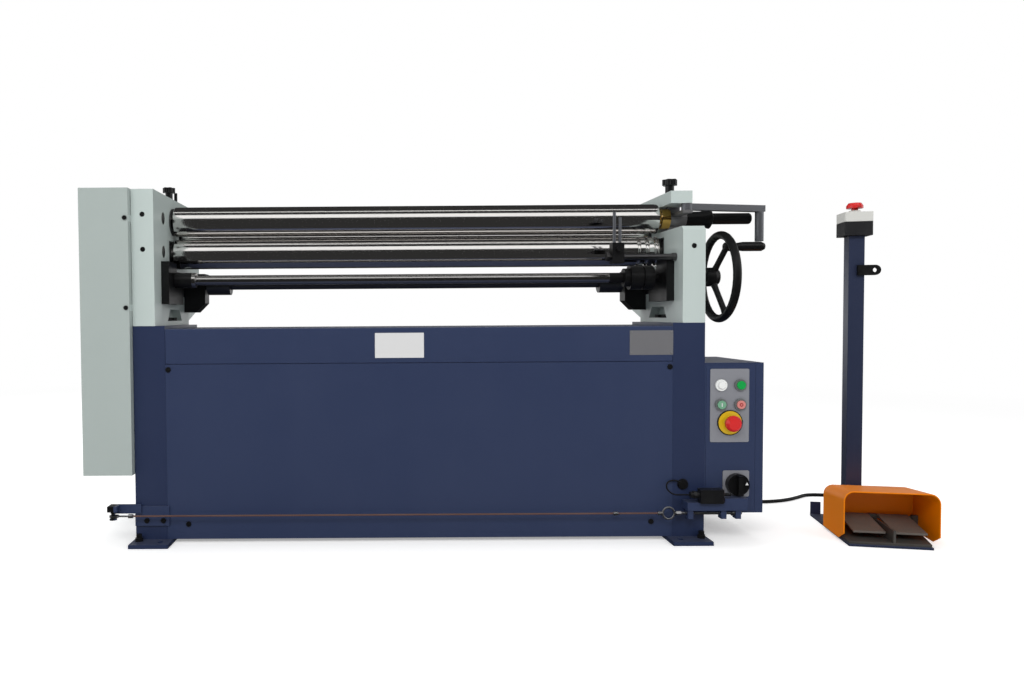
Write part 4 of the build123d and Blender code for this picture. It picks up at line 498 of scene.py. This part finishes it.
def makeCord(name, points, radius, body, nodes, paint):
    curve = bpy.data.curves.new(name, "CURVE")
    curve.dimensions = "3D"
    spline = curve.splines.new("NURBS")
    spline.points.add(len(points) - 1)
    for point, place in zip(spline.points, points):
        point.co = (*[value * mm for value in place], 1)
    spline.order_u = cordCurve["order"]
    spline.use_endpoint_u = True
    spline.resolution_u = cordCurve["steps"]
    curve.bevel_depth = radius
    curve.bevel_resolution = cordCurve["roundness"]
    curve.materials.append(paints[paint])
    cord = bpy.data.objects.new(name, curve)
    sceneRoot.objects.link(cord)
    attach(cord, body)
    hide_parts(*nodes)
    return cord


def splineLength(cord):
    flat = cord.data.copy()
    flat.bevel_depth = 0
    probe = bpy.data.objects.new("probe", flat)
    mesh = bpy.data.meshes.new_from_object(probe)
    ends = [mesh.vertices[v].co for edge in mesh.edges for v in edge.vertices]
    length = sum((a - b).length for a, b in zip(ends[0::2], ends[1::2]))
    bpy.data.objects.remove(probe)
    bpy.data.meshes.remove(mesh)
    return length


cablePoints = cable["fromBox"] + coilPoints(cable) + cable["toPedal"] + [cable["pedalEnd"]]
controlCable = makeCord(
    "controlCable", cablePoints, cable["radius"], "frame", ["box_cable", "cable_coil", "pedal_cable"],
    "cableRubber",
)
cableLength = splineLength(controlCable)
switchLead = makeCord("switchLead", lead["points"], lead["radius"], "frame", ["switch_lead"], "cableRubber")
leadLength = splineLength(switchLead)
print("cables laid", round(cableLength, 3), round(leadLength, 3))


# Solids of the frame: merged, eased at the edges, and given their finishes
paintOfSlot = {
    "cast_paint": "castPaint",
    "cabinet_paint": "cabinetPaint",
    "ground_steel": "rollSteel",
    "dark_steel": "darkSteel",
    "zinc": "zincSteel",
    "black_iron": "blackIron",
    "black_plastic": "blackPlastic",
    "brass": "brass",
    "motor_paint": "motorPaint",
    "panel_grey": "plateGrey",
    "box_grey": "boxGrey",
    "light_plastic": "lampWhite",
    "green_plastic": "buttonGreen",
    "pale_green": "buttonPaleGreen",
    "pale_red": "buttonPaleRed",
    "red_plastic": "stopRed",
    "yellow_plastic": "ringYellow",
    "wire_coat": "wireCoat",
    "switch_grey": "switchGrey",
    "stand_blue": "standPaint",
    "guard_orange": "guardPaint",
    "pedal_grey": "pedalGrey",
    "base_black": "baseGrey",
    "cable_rubber": "cableRubber",
}
# The gear cover and the columns take darker copies of their paints: painted shade
paintOfNode = {
    "upper_bearing_block": "bearingSteel", "lock_lever": "leverSteel", "guide_bar": "darkSteel",
    "gear_cover": "shadedCoverPaint", "columns": "shadedColumnPaint", "button_bezels": "bezelGrey",
    "frame_hardware": "blackIron",
}
easedEdges = {
    "left_housing": 2.0, "right_housing": 2.0, "gear_cover": 1.0, "columns": 1.0, "bed_beam": 1.5,
    "cabinet_panels": 0.8, "control_box": 0.8, "worm_boxes": 2.0, "lift_handle": 0.6, "lock_lever": 1.0,
    "upper_bearing_block": 0.8, "guide_block": 0.8, "wire_brackets": 0.6, "guide_bar": 0.5,
    "rope_switch": 1.0, "pedestal_stand": 0.8, "pedestal_stop_box": 0.8, "pedal_base": 0.6,
    "left_pedal": 0.8, "right_pedal": 0.8, "frame_hardware": 0.5, "gearmotor": 1.5, "pedal_guard": 0.8,
    "operator_plates": 0.4, "left_clamp_knob": 0.6, "right_clamp_knob": 0.6, "front_cross_shaft": 0.6,
}
smoothAngle = math.radians(35)
easing = {"segments": 2, "from": math.radians(40)}
merging = {"reach": 1e-5, "flatness": math.radians(0.5), "cutReach": 1e-6}

# Nodes shown in more than one finish: cut across an axis at the given places, lowest part first.
# None leaves a part out, which is made further down
splitNodes = {
    "pedestal_stop_box": {"axis": 2, "cuts": [809.5], "parts": [
        ("stopBoxBase", "boxBlack", "base_black"), ("stopBoxCap", "boxGrey", "box_grey")]},
    "guide_block": {"axis": 2, "cuts": [752.0], "parts": [
        ("guideBlockBody", "blackIron", "black_iron"), ("guidePins", "leverSteel", "zinc")]},
    "front_cross_shaft": {"axis": 0, "cuts": [-594.0, 508.0], "parts": [
        ("shaftLeftEnd", "blackIron", "black_iron"), ("shaftMiddle", "shaftSteel", "ground_steel"),
        ("shaftRightEnd", "blackIron", "black_iron")]},
    "wire_brackets": {"axis": 0, "cuts": [-760.0], "parts": [
        ("wireArmTip", "blackIron", "black_iron"), ("wireArms", "cabinetPaint", "cabinet_paint")]},
    "pull_wire": {"axis": 0, "cuts": [-726.5, -714.5, 480.5, 492.5, 590.5, 602.5, 633.5], "parts": [
        ("wireLoop", "zincSteel", "zinc"), ("leftCrimp", "zincSteel", "zinc"),
        ("wireSpan", "wireCoat", "wire_coat"), ("middleCrimp", "zincSteel", "zinc"),
        ("wireEnd", "wireCoat", "wire_coat"), ("rightCrimp", "zincSteel", "zinc"),
        None, ("pullRod", "zincSteel", "zinc")]},
}


def mergedCopy(node):
    bm = bmesh.new()
    bm.from_mesh(frame["nodes"][node].data)
    bmesh.ops.remove_doubles(bm, verts=bm.verts, dist=merging["reach"])
    bmesh.ops.dissolve_limit(
        bm, angle_limit=merging["flatness"], use_dissolve_boundaries=False, verts=bm.verts, edges=bm.edges,
        delimit=set(),
    )
    return bm


def addPiece(name, bm, body, paint, nodes=(), ease=0):
    mesh = bpy.data.meshes.new(name)
    bm.to_mesh(mesh)
    bm.free()
    mesh.shade_smooth()
    mesh.set_sharp_from_angle(angle=smoothAngle)
    mesh.materials.append(paints[paint])
    piece = bpy.data.objects.new(name, mesh)
    sceneRoot.objects.link(piece)
    if ease:
        bevel = piece.modifiers.new("easedEdge", "BEVEL")
        bevel.width = ease * mm
        bevel.segments = easing["segments"]
        bevel.limit_method = "ANGLE"
        bevel.angle_limit = easing["from"]
        bevel.miter_outer = "MITER_ARC"
    flat = piece.modifiers.new("flatFaces", "WEIGHTED_NORMAL")
    flat.keep_sharp = True
    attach(piece, body)
    if nodes:
        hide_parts(*nodes)


# The foot switch as the photograph shows it: its guard and pedals narrower than the solids, the
# guard's roof falling to the rear, its feet cut back, the pedals lower in front and the base
# thinner and longer. All of it is in the pedestal's own frame, which stands turned at its place
footSwitch = {
    "place": (1167.7, -98.5, 0),
    "turn": -12,
    "middle": 9,
    "guardShare": 107 / 118,
    "guardFront": -128,
    "guardDepth": 150,
    "guardFoot": 6,
    "roofShares": (125 / 122, 110 / 122),
    "footCutBack": (-116, -92),
    "footCutUp": (18, 25),
    "pedalInner": 10,
    "pedalShare": 72 / 90,
    "pedalHinge": -6,
    "pedalLength": 104,
    "pedalGrowth": 10,
    "pedalFall": 6,
    "baseTop": 18,
    "baseDrop": 6,
    "baseFront": (-118, -146),
    "baseCorner": 18,
    "baseHalf": 90,
    "nearness": 1,
}


def shapeGuard(x, y, z, spec):
    near = spec["nearness"]
    cutFrom, cutTo = spec["footCutBack"]
    liftFrom, liftTo = spec["footCutUp"]
    front, foot = spec["guardFront"], spec["guardFoot"]
    share = (y - front) / spec["guardDepth"]
    if z < foot + near and abs(y - cutFrom) < near:
        y = cutTo
    elif abs(z - liftFrom) < near and abs(y - front) < near:
        z = liftTo
    else:
        first, last = spec["roofShares"]
        z = foot + (z - foot) * (first + (last - first) * share)
    return x * spec["guardShare"] + spec["middle"], y, z


def shapePedal(x, y, z, spec):
    ahead = max(0.0, spec["pedalHinge"] - y)
    side = math.copysign(1, x)
    x = side * (spec["pedalInner"] + (abs(x) - spec["pedalInner"]) * spec["pedalShare"]) + spec["middle"]
    ahead /= spec["pedalLength"]
    return x, y - spec["pedalGrowth"] * ahead, z - spec["pedalFall"] * ahead


def shapeBase(x, y, z, spec):
    frontFrom, frontTo = spec["baseFront"]
    wide = x * spec["guardShare"] + spec["middle"]
    if y < frontFrom + spec["nearness"]:
        y = frontTo
        if abs(x) > spec["baseCorner"]:
            wide = math.copysign(spec["baseHalf"], x)
    if abs(z - spec["baseTop"]) < spec["nearness"]:
        z -= spec["baseDrop"]
    return wide, y, z


shapeOf = {
    "pedal_guard": shapeGuard, "left_pedal": shapePedal, "right_pedal": shapePedal, "pedal_base": shapeBase,
}


def reshape(bm, shape, spec):
    turn = Matrix.Rotation(math.radians(spec["turn"]), 4, "Z")
    home = Matrix.Translation(Vector(spec["place"]) * mm) @ turn
    back = home.inverted()
    for vert in bm.verts:
        place = back @ vert.co / mm
        vert.co = home @ (Vector(shape(*place, spec)) * mm)


def dressNode(node):
    paint = paintOfNode.get(node, paintOfSlot[slotOf[node]])
    bm = mergedCopy(node)
    if node in shapeOf:
        reshape(bm, shapeOf[node], footSwitch)
    ease = easedEdges.get(node, 0)
    addPiece(node + "Dressed", bm, bodyOf[node], paint, [node], ease)


def keepSide(bm, axis, place, below):
    # Cuts a closed shell across an axis, keeps one side and closes it again
    point, normal = Vector((0, 0, 0)), Vector((0, 0, 0))
    point[axis], normal[axis] = place * mm, 1
    bmesh.ops.bisect_plane(
        bm, geom=bm.verts[:] + bm.edges[:] + bm.faces[:], dist=merging["cutReach"], plane_co=point,
        plane_no=normal, clear_outer=below, clear_inner=not below,
    )
    rim = [edge for edge in bm.edges if edge.is_boundary]
    bmesh.ops.holes_fill(bm, edges=rim, sides=0)


def dressInParts(node, spec):
    cuts = spec["cuts"]
    for index, part in enumerate(spec["parts"]):
        if part is None:
            continue
        name, paint, slotName = part
        bm = mergedCopy(node)
        if index < len(cuts):
            keepSide(bm, spec["axis"], cuts[index], True)
        if index:
            keepSide(bm, spec["axis"], cuts[index - 1], False)
        addPiece(name, bm, bodyOf[node], paint, [node], easedEdges.get(node, 0))


ownShapes = {"box_cable", "cable_coil", "pedal_cable", "switch_lead", "handwheel"}
for node in frame["nodes"]:
    if node in splitNodes:
        dressInParts(node, splitNodes[node])
    elif node not in ownShapes:
        dressNode(node)
print("frame dressed")


weldReach = 2e-6


# Shapes turned on a lathe: a profile of (along, radius) spun about an axis through a place
def turnShape(bm, profile, place, direction, steps=48):
    axis = Vector(direction).normalized()
    side = axis.orthogonal().normalized()
    origin = Vector(place) * mm
    verts = [bm.verts.new(origin + (axis * along + side * radius) * mm) for along, radius in profile]
    edges = [bm.edges.new(pair) for pair in zip(verts, verts[1:])]
    bmesh.ops.spin(
        bm, geom=verts + edges, cent=origin, axis=axis, dvec=(0, 0, 0), angle=2 * math.pi, steps=steps,
        use_merge=True, use_duplicate=False,
    )
    bmesh.ops.remove_doubles(bm, verts=bm.verts, dist=weldReach)


# A round ring: its section stands at the offset from the middle, and is spun about the axis
def ringShape(bm, middle, offset, tube, axis, sides, steps):
    ring = bmesh.ops.create_circle(bm, segments=sides, radius=tube * mm)["verts"]
    edges = list({edge for vert in ring for edge in vert.link_edges})
    bmesh.ops.translate(bm, vec=(Vector(middle) + Vector(offset)) * mm, verts=ring)
    bmesh.ops.spin(
        bm, geom=ring + edges, cent=Vector(middle) * mm, axis=axis, dvec=(0, 0, 0), angle=2 * math.pi,
        steps=steps, use_merge=True, use_duplicate=False,
    )


def slabShape(bm, low, high, ease):
    made = bmesh.ops.create_cube(bm, size=1)["verts"]
    size = [(b - a) * mm for a, b in zip(low, high)]
    middle = [(a + b) / 2 * mm for a, b in zip(low, high)]
    bmesh.ops.scale(bm, vec=size, verts=made)
    bmesh.ops.translate(bm, vec=middle, verts=made)
    edges = list({edge for vert in made for edge in vert.link_edges})
    bmesh.ops.bevel(
        bm, geom=edges, offset=ease * mm, offset_type="OFFSET", affect="EDGES", segments=easing["segments"],
        profile=0.5, material=-1,
    )


# Handwheel: a rim with finger grips on its inner side, three tapered spokes, a turned hub
handwheel = {
    "middle": (800, -45, 667),
    "rim": 110,
    "dish": 21,
    "tube": 10.5,
    "rimSides": 20,
    "rimSteps": 216,
    "grips": 36,
    "gripDepth": 1.5,
    "spokes": 3,
    "firstSpoke": 126,
    "spokeProfile": [(18, 9.5), (26, 8.2), (40, 7.4), (92, 7.4), (100, 8.2), (107, 9.0)],
    "hub": [(-18, 0), (-18, 23), (-16, 25), (5, 25), (9, 22), (16, 20.5), (18, 18.5), (18, 9), (16, 8),
            (16, 0)],
    "grip": 93,
    "boss": [(-12, 0), (-12, 7.5), (-9.5, 10.5), (4, 12), (10.5, 12), (12, 10.5), (12, 5)],
    "pin": [(11, 5), (83.6, 5), (84, 4.6), (84, 0)],
    "spokeSteps": 20,
    "bossSteps": 28,
    "pinSteps": 20,
}


def makeHandwheel(spec):
    bm = bmesh.new()
    x, y, z = spec["middle"]
    across = (1, 0, 0)
    ringShape(
        bm, spec["middle"], (0, spec["rim"], 0), spec["tube"], across, spec["rimSides"], spec["rimSteps"]
    )
    for vert in bm.verts:
        away = vert.co - Vector(spec["middle"]) * mm
        away.x = 0
        inner = max(0.0, (spec["rim"] * mm - away.length) / (spec["tube"] * mm))
        turn = math.atan2(away.z, away.y)
        wave = (1 - math.cos(turn * spec["grips"])) / 2
        vert.co += away.normalized() * inner * wave * spec["gripDepth"] * mm
    hub = (x - spec["dish"], y, z)
    for k in range(spec["spokes"]):
        angle = math.radians(spec["firstSpoke"]) + 2 * math.pi * k / spec["spokes"]
        outwards = (spec["dish"], spec["rim"] * math.cos(angle), spec["rim"] * math.sin(angle))
        turnShape(bm, spec["spokeProfile"], hub, outwards, spec["spokeSteps"])
    turnShape(bm, spec["hub"], hub, across)
    angle = math.radians(spec["firstSpoke"])
    place = (x, y + spec["grip"] * math.cos(angle), z + spec["grip"] * math.sin(angle))
    turnShape(bm, spec["boss"], place, across, spec["bossSteps"])
    turnShape(bm, spec["pin"], place, across, spec["pinSteps"])
    bmesh.ops.recalc_face_normals(bm, faces=bm.faces)
    addPiece("handwheelDressed", bm, "front_shaft", "blackIron", ["handwheel"])


makeHandwheel(handwheel)
print("handwheel made")

# Bare plates on the bed beam, where the machine's names would be
barePlates = {
    "whiteNamePlate": {
        "x": (-109.7, 12.9), "z": (464.6, 527.2), "paint": "whitePlate", "slot": "light_plastic",
        "riveted": False,
    },
    "metalNamePlate": {
        "x": (527.7, 636.2), "z": (468.0, 529.4), "paint": "barePlate", "slot": "zinc", "riveted": True,
    },
}
plateFace = {
    "y": -165.0,
    "thick": 0.8,
    "sunk": 0.2,
    "ease": 0.3,
    "rivetInset": 5,
    "rivetSunk": 0.1,
    "rivet": [(0, 2.6), (0.5, 2.5), (1.0, 1.9), (1.3, 1.0), (1.4, 0)],
    "rivetSteps": 16,
}


def makeBarePlate(name, spec, face):
    bm = bmesh.new()
    front = face["y"] - face["thick"]
    (left, right), (low, high) = spec["x"], spec["z"]
    slabShape(bm, (left, front, low), (right, face["y"] + face["sunk"], high), face["ease"])
    if spec["riveted"]:
        inset = face["rivetInset"]
        seat = front + face["rivetSunk"]
        for x in (left + inset, right - inset):
            for z in (low + inset, high - inset):
                turnShape(bm, face["rivet"], (x, seat, z), (0, -1, 0), face["rivetSteps"])
    bmesh.ops.recalc_face_normals(bm, faces=bm.faces)
    addPiece(name, bm, "frame", spec["paint"])


for name, spec in barePlates.items():
    makeBarePlate(name, spec, plateFace)

# Small things that the solids leave plain: black discs in the bores as painted shade, the cover's folded lip,
# and the pull wire's ring, which hangs face on
smallThings = {
    # Black discs set in the bores and recesses: painted shade standing in for the dark inside the holes
    "boreShadeDiscs": {
        "places": [(-688, -162.5, 740), (-688, -162.5, 827), (688, -162.5, 740)],
        "axis": (0, 1, 0), "radius": 6.4, "thick": 3, "steps": 32,
    },
    "recessShadeDiscs": {
        "places": [(-663.5, -78, 740), (-663.5, -78, 827)],
        "axis": (1, 0, 0), "radius": 15.8, "thick": 2.5, "steps": 48,
    },
    "coverLip": {"low": (-718.6, -186.6, 176.5), "high": (-716.4, -165.2, 889.5), "ease": 0.5},
    "wireRing": {"middle": (618, -190, 75), "radius": 14.5, "tube": 2.6, "sides": 16, "steps": 48},
}


def makeSmallThings(spec):
    bm = bmesh.new()
    # Painted shade: a black disc a little inside each bore and recess, where the hole goes dark
    for floor in (spec["boreShadeDiscs"], spec["recessShadeDiscs"]):
        thick, radius = floor["thick"], floor["radius"]
        for place in floor["places"]:
            disc = [(0, 0), (0, radius), (thick, radius), (thick, 0)]
            turnShape(bm, disc, place, floor["axis"], floor["steps"])
    bmesh.ops.recalc_face_normals(bm, faces=bm.faces)
    addPiece("boreShadeDiscs", bm, "frame", "blackIron")
    lip = spec["coverLip"]
    bm = bmesh.new()
    slabShape(bm, lip["low"], lip["high"], lip["ease"])
    # The lip takes the cover's darker paint: painted shade, like the cover
    addPiece("coverLip", bm, "frame", "shadedCoverPaint")
    ring = spec["wireRing"]
    bm = bmesh.new()
    ringShape(
        bm, ring["middle"], (ring["radius"], 0, 0), ring["tube"], (0, 1, 0), ring["sides"], ring["steps"]
    )
    bmesh.ops.recalc_face_normals(bm, faces=bm.faces)
    addPiece("wireRing", bm, bodyOf["pull_wire"], "zincSteel", ["pull_wire"])


makeSmallThings(smallThings)

# Marks on the operator panel: bar and circle on the buttons, a pointer on the main switch
marks = {
    "lift": 0.4,
    "ease": 0.2,
    "start": {"place": (755.3, -176.0, 342.4), "half": (1.1, 4.6)},
    "stop": {"place": (803.5, -176.0, 342.4), "radii": (2.3, 4.5), "steps": 32},
    "pointer": {"place": (808.5, -198.3, 148.0), "size": 4.6},
    "ringEdge": {
        "place": (778.4, -166.5, 296.8), "steps": 64,
        "profile": [(0, 29.7), (0, 31.6), (3.2, 31.6), (4.0, 31.0), (4.0, 29.9), (3.2, 29.4)],
    },
}
outOfPanel = (0, -1, 0)


def makeMarks(spec):
    lift = spec["lift"]
    x, y, z = spec["start"]["place"]
    halfWidth, halfHeight = spec["start"]["half"]
    bm = bmesh.new()
    slabShape(
        bm, (x - halfWidth, y - lift, z - halfHeight), (x + halfWidth, y + lift, z + halfHeight), spec["ease"]
    )
    addPiece("startMark", bm, "start_button", "whitePlate")
    inner, outer = spec["stop"]["radii"]
    bm = bmesh.new()
    ring = [(-lift, inner), (-lift, outer), (lift, outer), (lift, inner), (-lift, inner)]
    turnShape(bm, ring, spec["stop"]["place"], outOfPanel, spec["stop"]["steps"])
    bmesh.ops.recalc_face_normals(bm, faces=bm.faces)
    addPiece("stopMark", bm, "stop_button", "markRed")
    bm = bmesh.new()
    pointer = spec["pointer"]
    made = bmesh.ops.create_circle(bm, cap_ends=True, segments=3, radius=pointer["size"] * mm)["verts"]
    bmesh.ops.rotate(bm, verts=made, cent=(0, 0, 0), matrix=Matrix.Rotation(math.pi / 2, 3, "X"))
    bmesh.ops.translate(bm, vec=Vector(pointer["place"]) * mm, verts=made)
    lifted = bmesh.ops.extrude_face_region(bm, geom=bm.faces[:])["geom"]
    lifted = [item for item in lifted if isinstance(item, bmesh.types.BMVert)]
    bmesh.ops.translate(bm, vec=(0, -lift * mm, 0), verts=lifted)
    bmesh.ops.recalc_face_normals(bm, faces=bm.faces)
    addPiece("switchPointer", bm, "switch_knob", "whitePlate")
    bm = bmesh.new()
    edge = spec["ringEdge"]
    turnShape(bm, edge["profile"] + edge["profile"][:1], edge["place"], outOfPanel, edge["steps"])
    bmesh.ops.recalc_face_normals(bm, faces=bm.faces)
    addPiece("stopRingEdge", bm, "frame", "blackPlastic")


makeMarks(marks)
print("plates and marks made")


# Floor and light: a pale floor that fades into a white background, soft lamps, and black cards
# that only reflections see, as a photographer hangs them to draw dark bands on polished steel
studio = {
    "floor": 16.0,
    "floorColor": 0.90,
    "floorRoughness": 0.8,
    "lift": 0.34,
    "fadeFrom": 2.2,
    "fadeTo": 5.5,
    "world": 0.55,
    "cardDistance": 5.0,
    "cardHeight": 0.8,
    "cardHalfLength": 7.0,
    "cardBands": [(-12, 23), (50, 72), (78, 178)],
    "cardStep": 6,
    "cardLowest": 0.01,
    "cardColor": 0.03,
    "groundLift": 0.0004,
}
lamps = {
    "keyLamp": {"place": (-0.9, -3.6, 2.9), "target": (0, 0, 0.55), "size": (2.6, 1.2), "power": 80},
    "fillLamp": {"place": (2.6, -3.2, 1.9), "target": (0.3, 0, 0.5), "size": (1.6, 1.6), "power": 26},
    "topLamp": {"place": (0, 0.4, 3.4), "target": (0, 0, 0.5), "size": (3.0, 1.0), "power": 34},
    "rearLamp": {"place": (-1.5, 3.6, 2.2), "target": (0, 0, 0.5), "size": (2.0, 1.4), "power": 40},
}


def makeFloor(spec):
    bm = bmesh.new()
    bmesh.ops.create_grid(bm, x_segments=1, y_segments=1, size=spec["floor"])
    mesh = bpy.data.meshes.new("studioFloor")
    bm.to_mesh(mesh)
    bm.free()
    material = bpy.data.materials.new("paleFloor")
    material.use_nodes = True
    tree = material.node_tree
    shader = tree.nodes["Principled BSDF"]
    shader.inputs["Base Color"].default_value = (*[spec["floorColor"]] * 3, 1)
    shader.inputs["Roughness"].default_value = spec["floorRoughness"]
    shader.inputs["Specular IOR Level"].default_value = 0.0
    seen = tree.nodes.new("ShaderNodeLightPath").outputs["Is Camera Ray"]
    lifted = tree.nodes.new("ShaderNodeEmission")
    tree.links.new(addMath(tree, "MULTIPLY", seen, spec["lift"]), lifted.inputs["Strength"])
    both = tree.nodes.new("ShaderNodeAddShader")
    tree.links.new(shader.outputs[0], both.inputs[0])
    tree.links.new(lifted.outputs[0], both.inputs[1])
    split = tree.nodes.new("ShaderNodeSeparateXYZ")
    tree.links.new(tree.nodes.new("ShaderNodeTexCoord").outputs["Object"], split.inputs[0])
    squares = [addMath(tree, "POWER", addMath(tree, "ABSOLUTE", split.outputs[k], 0), 2) for k in (0, 1)]
    fade = tree.nodes.new("ShaderNodeMapRange")
    fade.interpolation_type = "SMOOTHSTEP"
    fade.inputs["From Min"].default_value = spec["fadeFrom"]
    fade.inputs["From Max"].default_value = spec["fadeTo"]
    away = addMath(tree, "SQRT", addMath(tree, "ADD", *squares), 0)
    tree.links.new(away, fade.inputs["Value"])
    white = tree.nodes.new("ShaderNodeEmission")
    mixed = tree.nodes.new("ShaderNodeMixShader")
    tree.links.new(addMath(tree, "MULTIPLY", fade.outputs[0], seen), mixed.inputs[0])
    tree.links.new(both.outputs[0], mixed.inputs[1])
    tree.links.new(white.outputs[0], mixed.inputs[2])
    tree.links.new(mixed.outputs[0], tree.nodes["Material Output"].inputs["Surface"])
    mesh.materials.append(material)
    floor = bpy.data.objects.new("studioFloor", mesh)
    sceneRoot.objects.link(floor)


def makeWorld(spec):
    world = bpy.data.worlds.new("studio")
    bpy.context.scene.world = world
    world.use_nodes = True
    tree = world.node_tree
    background = tree.nodes["Background"]
    background.inputs["Color"].default_value = (1, 1, 1, 1)
    path = tree.nodes.new("ShaderNodeLightPath")
    seen = addMath(tree, "ADD", path.outputs["Is Camera Ray"], path.outputs["Is Glossy Ray"], True)
    seen = addMath(tree, "ADD", seen, path.outputs["Is Transmission Ray"], True)
    tree.links.new(addRange(tree, seen, spec["world"], 1.0), background.inputs["Strength"])


def makeCards(spec):
    material = bpy.data.materials.new("blackCard")
    material.use_nodes = True
    tree = material.node_tree
    glow = tree.nodes.new("ShaderNodeEmission")
    glow.inputs["Color"].default_value = (*[spec["cardColor"]] * 3, 1)
    tree.links.new(glow.outputs[0], tree.nodes["Material Output"].inputs["Surface"])
    bm = bmesh.new()
    length = spec["cardHalfLength"]
    for low, high in spec["cardBands"]:
        steps = max(1, round((high - low) / spec["cardStep"]))
        verts = []
        for step in range(steps + 1):
            angle = math.radians(low + (high - low) * step / steps)
            y = -math.cos(angle) * spec["cardDistance"]
            z = spec["cardHeight"] + math.sin(angle) * spec["cardDistance"]
            verts.append(bm.verts.new((-length, y, max(z, spec["cardLowest"]))))
        edges = [bm.edges.new(pair) for pair in zip(verts, verts[1:])]
        drawn = bmesh.ops.extrude_edge_only(bm, edges=edges)["geom"]
        drawn = [item for item in drawn if isinstance(item, bmesh.types.BMVert)]
        bmesh.ops.translate(bm, vec=(2 * length, 0, 0), verts=drawn)
    ground = bmesh.ops.create_grid(bm, x_segments=1, y_segments=1, size=1)["verts"]
    bmesh.ops.scale(bm, vec=(length, spec["cardDistance"], 1), verts=ground)
    bmesh.ops.translate(bm, vec=(0, 0, spec["groundLift"]), verts=ground)
    mesh = bpy.data.meshes.new("blackCards")
    bm.to_mesh(mesh)
    bm.free()
    mesh.materials.append(material)
    cards = bpy.data.objects.new("blackCards", mesh)
    cards.visible_camera = False
    cards.visible_diffuse = False
    cards.visible_transmission = False
    cards.visible_shadow = False
    sceneRoot.objects.link(cards)


def addLamp(name, spec):
    data = bpy.data.lights.new(name, "AREA")
    data.shape = "RECTANGLE"
    data.size, data.size_y = spec["size"]
    data.energy = spec["power"]
    lamp = bpy.data.objects.new(name, data)
    lamp.location = spec["place"]
    aim = Vector(spec["target"]) - Vector(spec["place"])
    lamp.rotation_euler = aim.to_track_quat("-Z", "Y").to_euler()
    lamp.visible_glossy = False
    sceneRoot.objects.link(lamp)


makeFloor(studio)
makeWorld(studio)
makeCards(studio)
for name, spec in lamps.items():
    addLamp(name, spec)
print("studio lit")
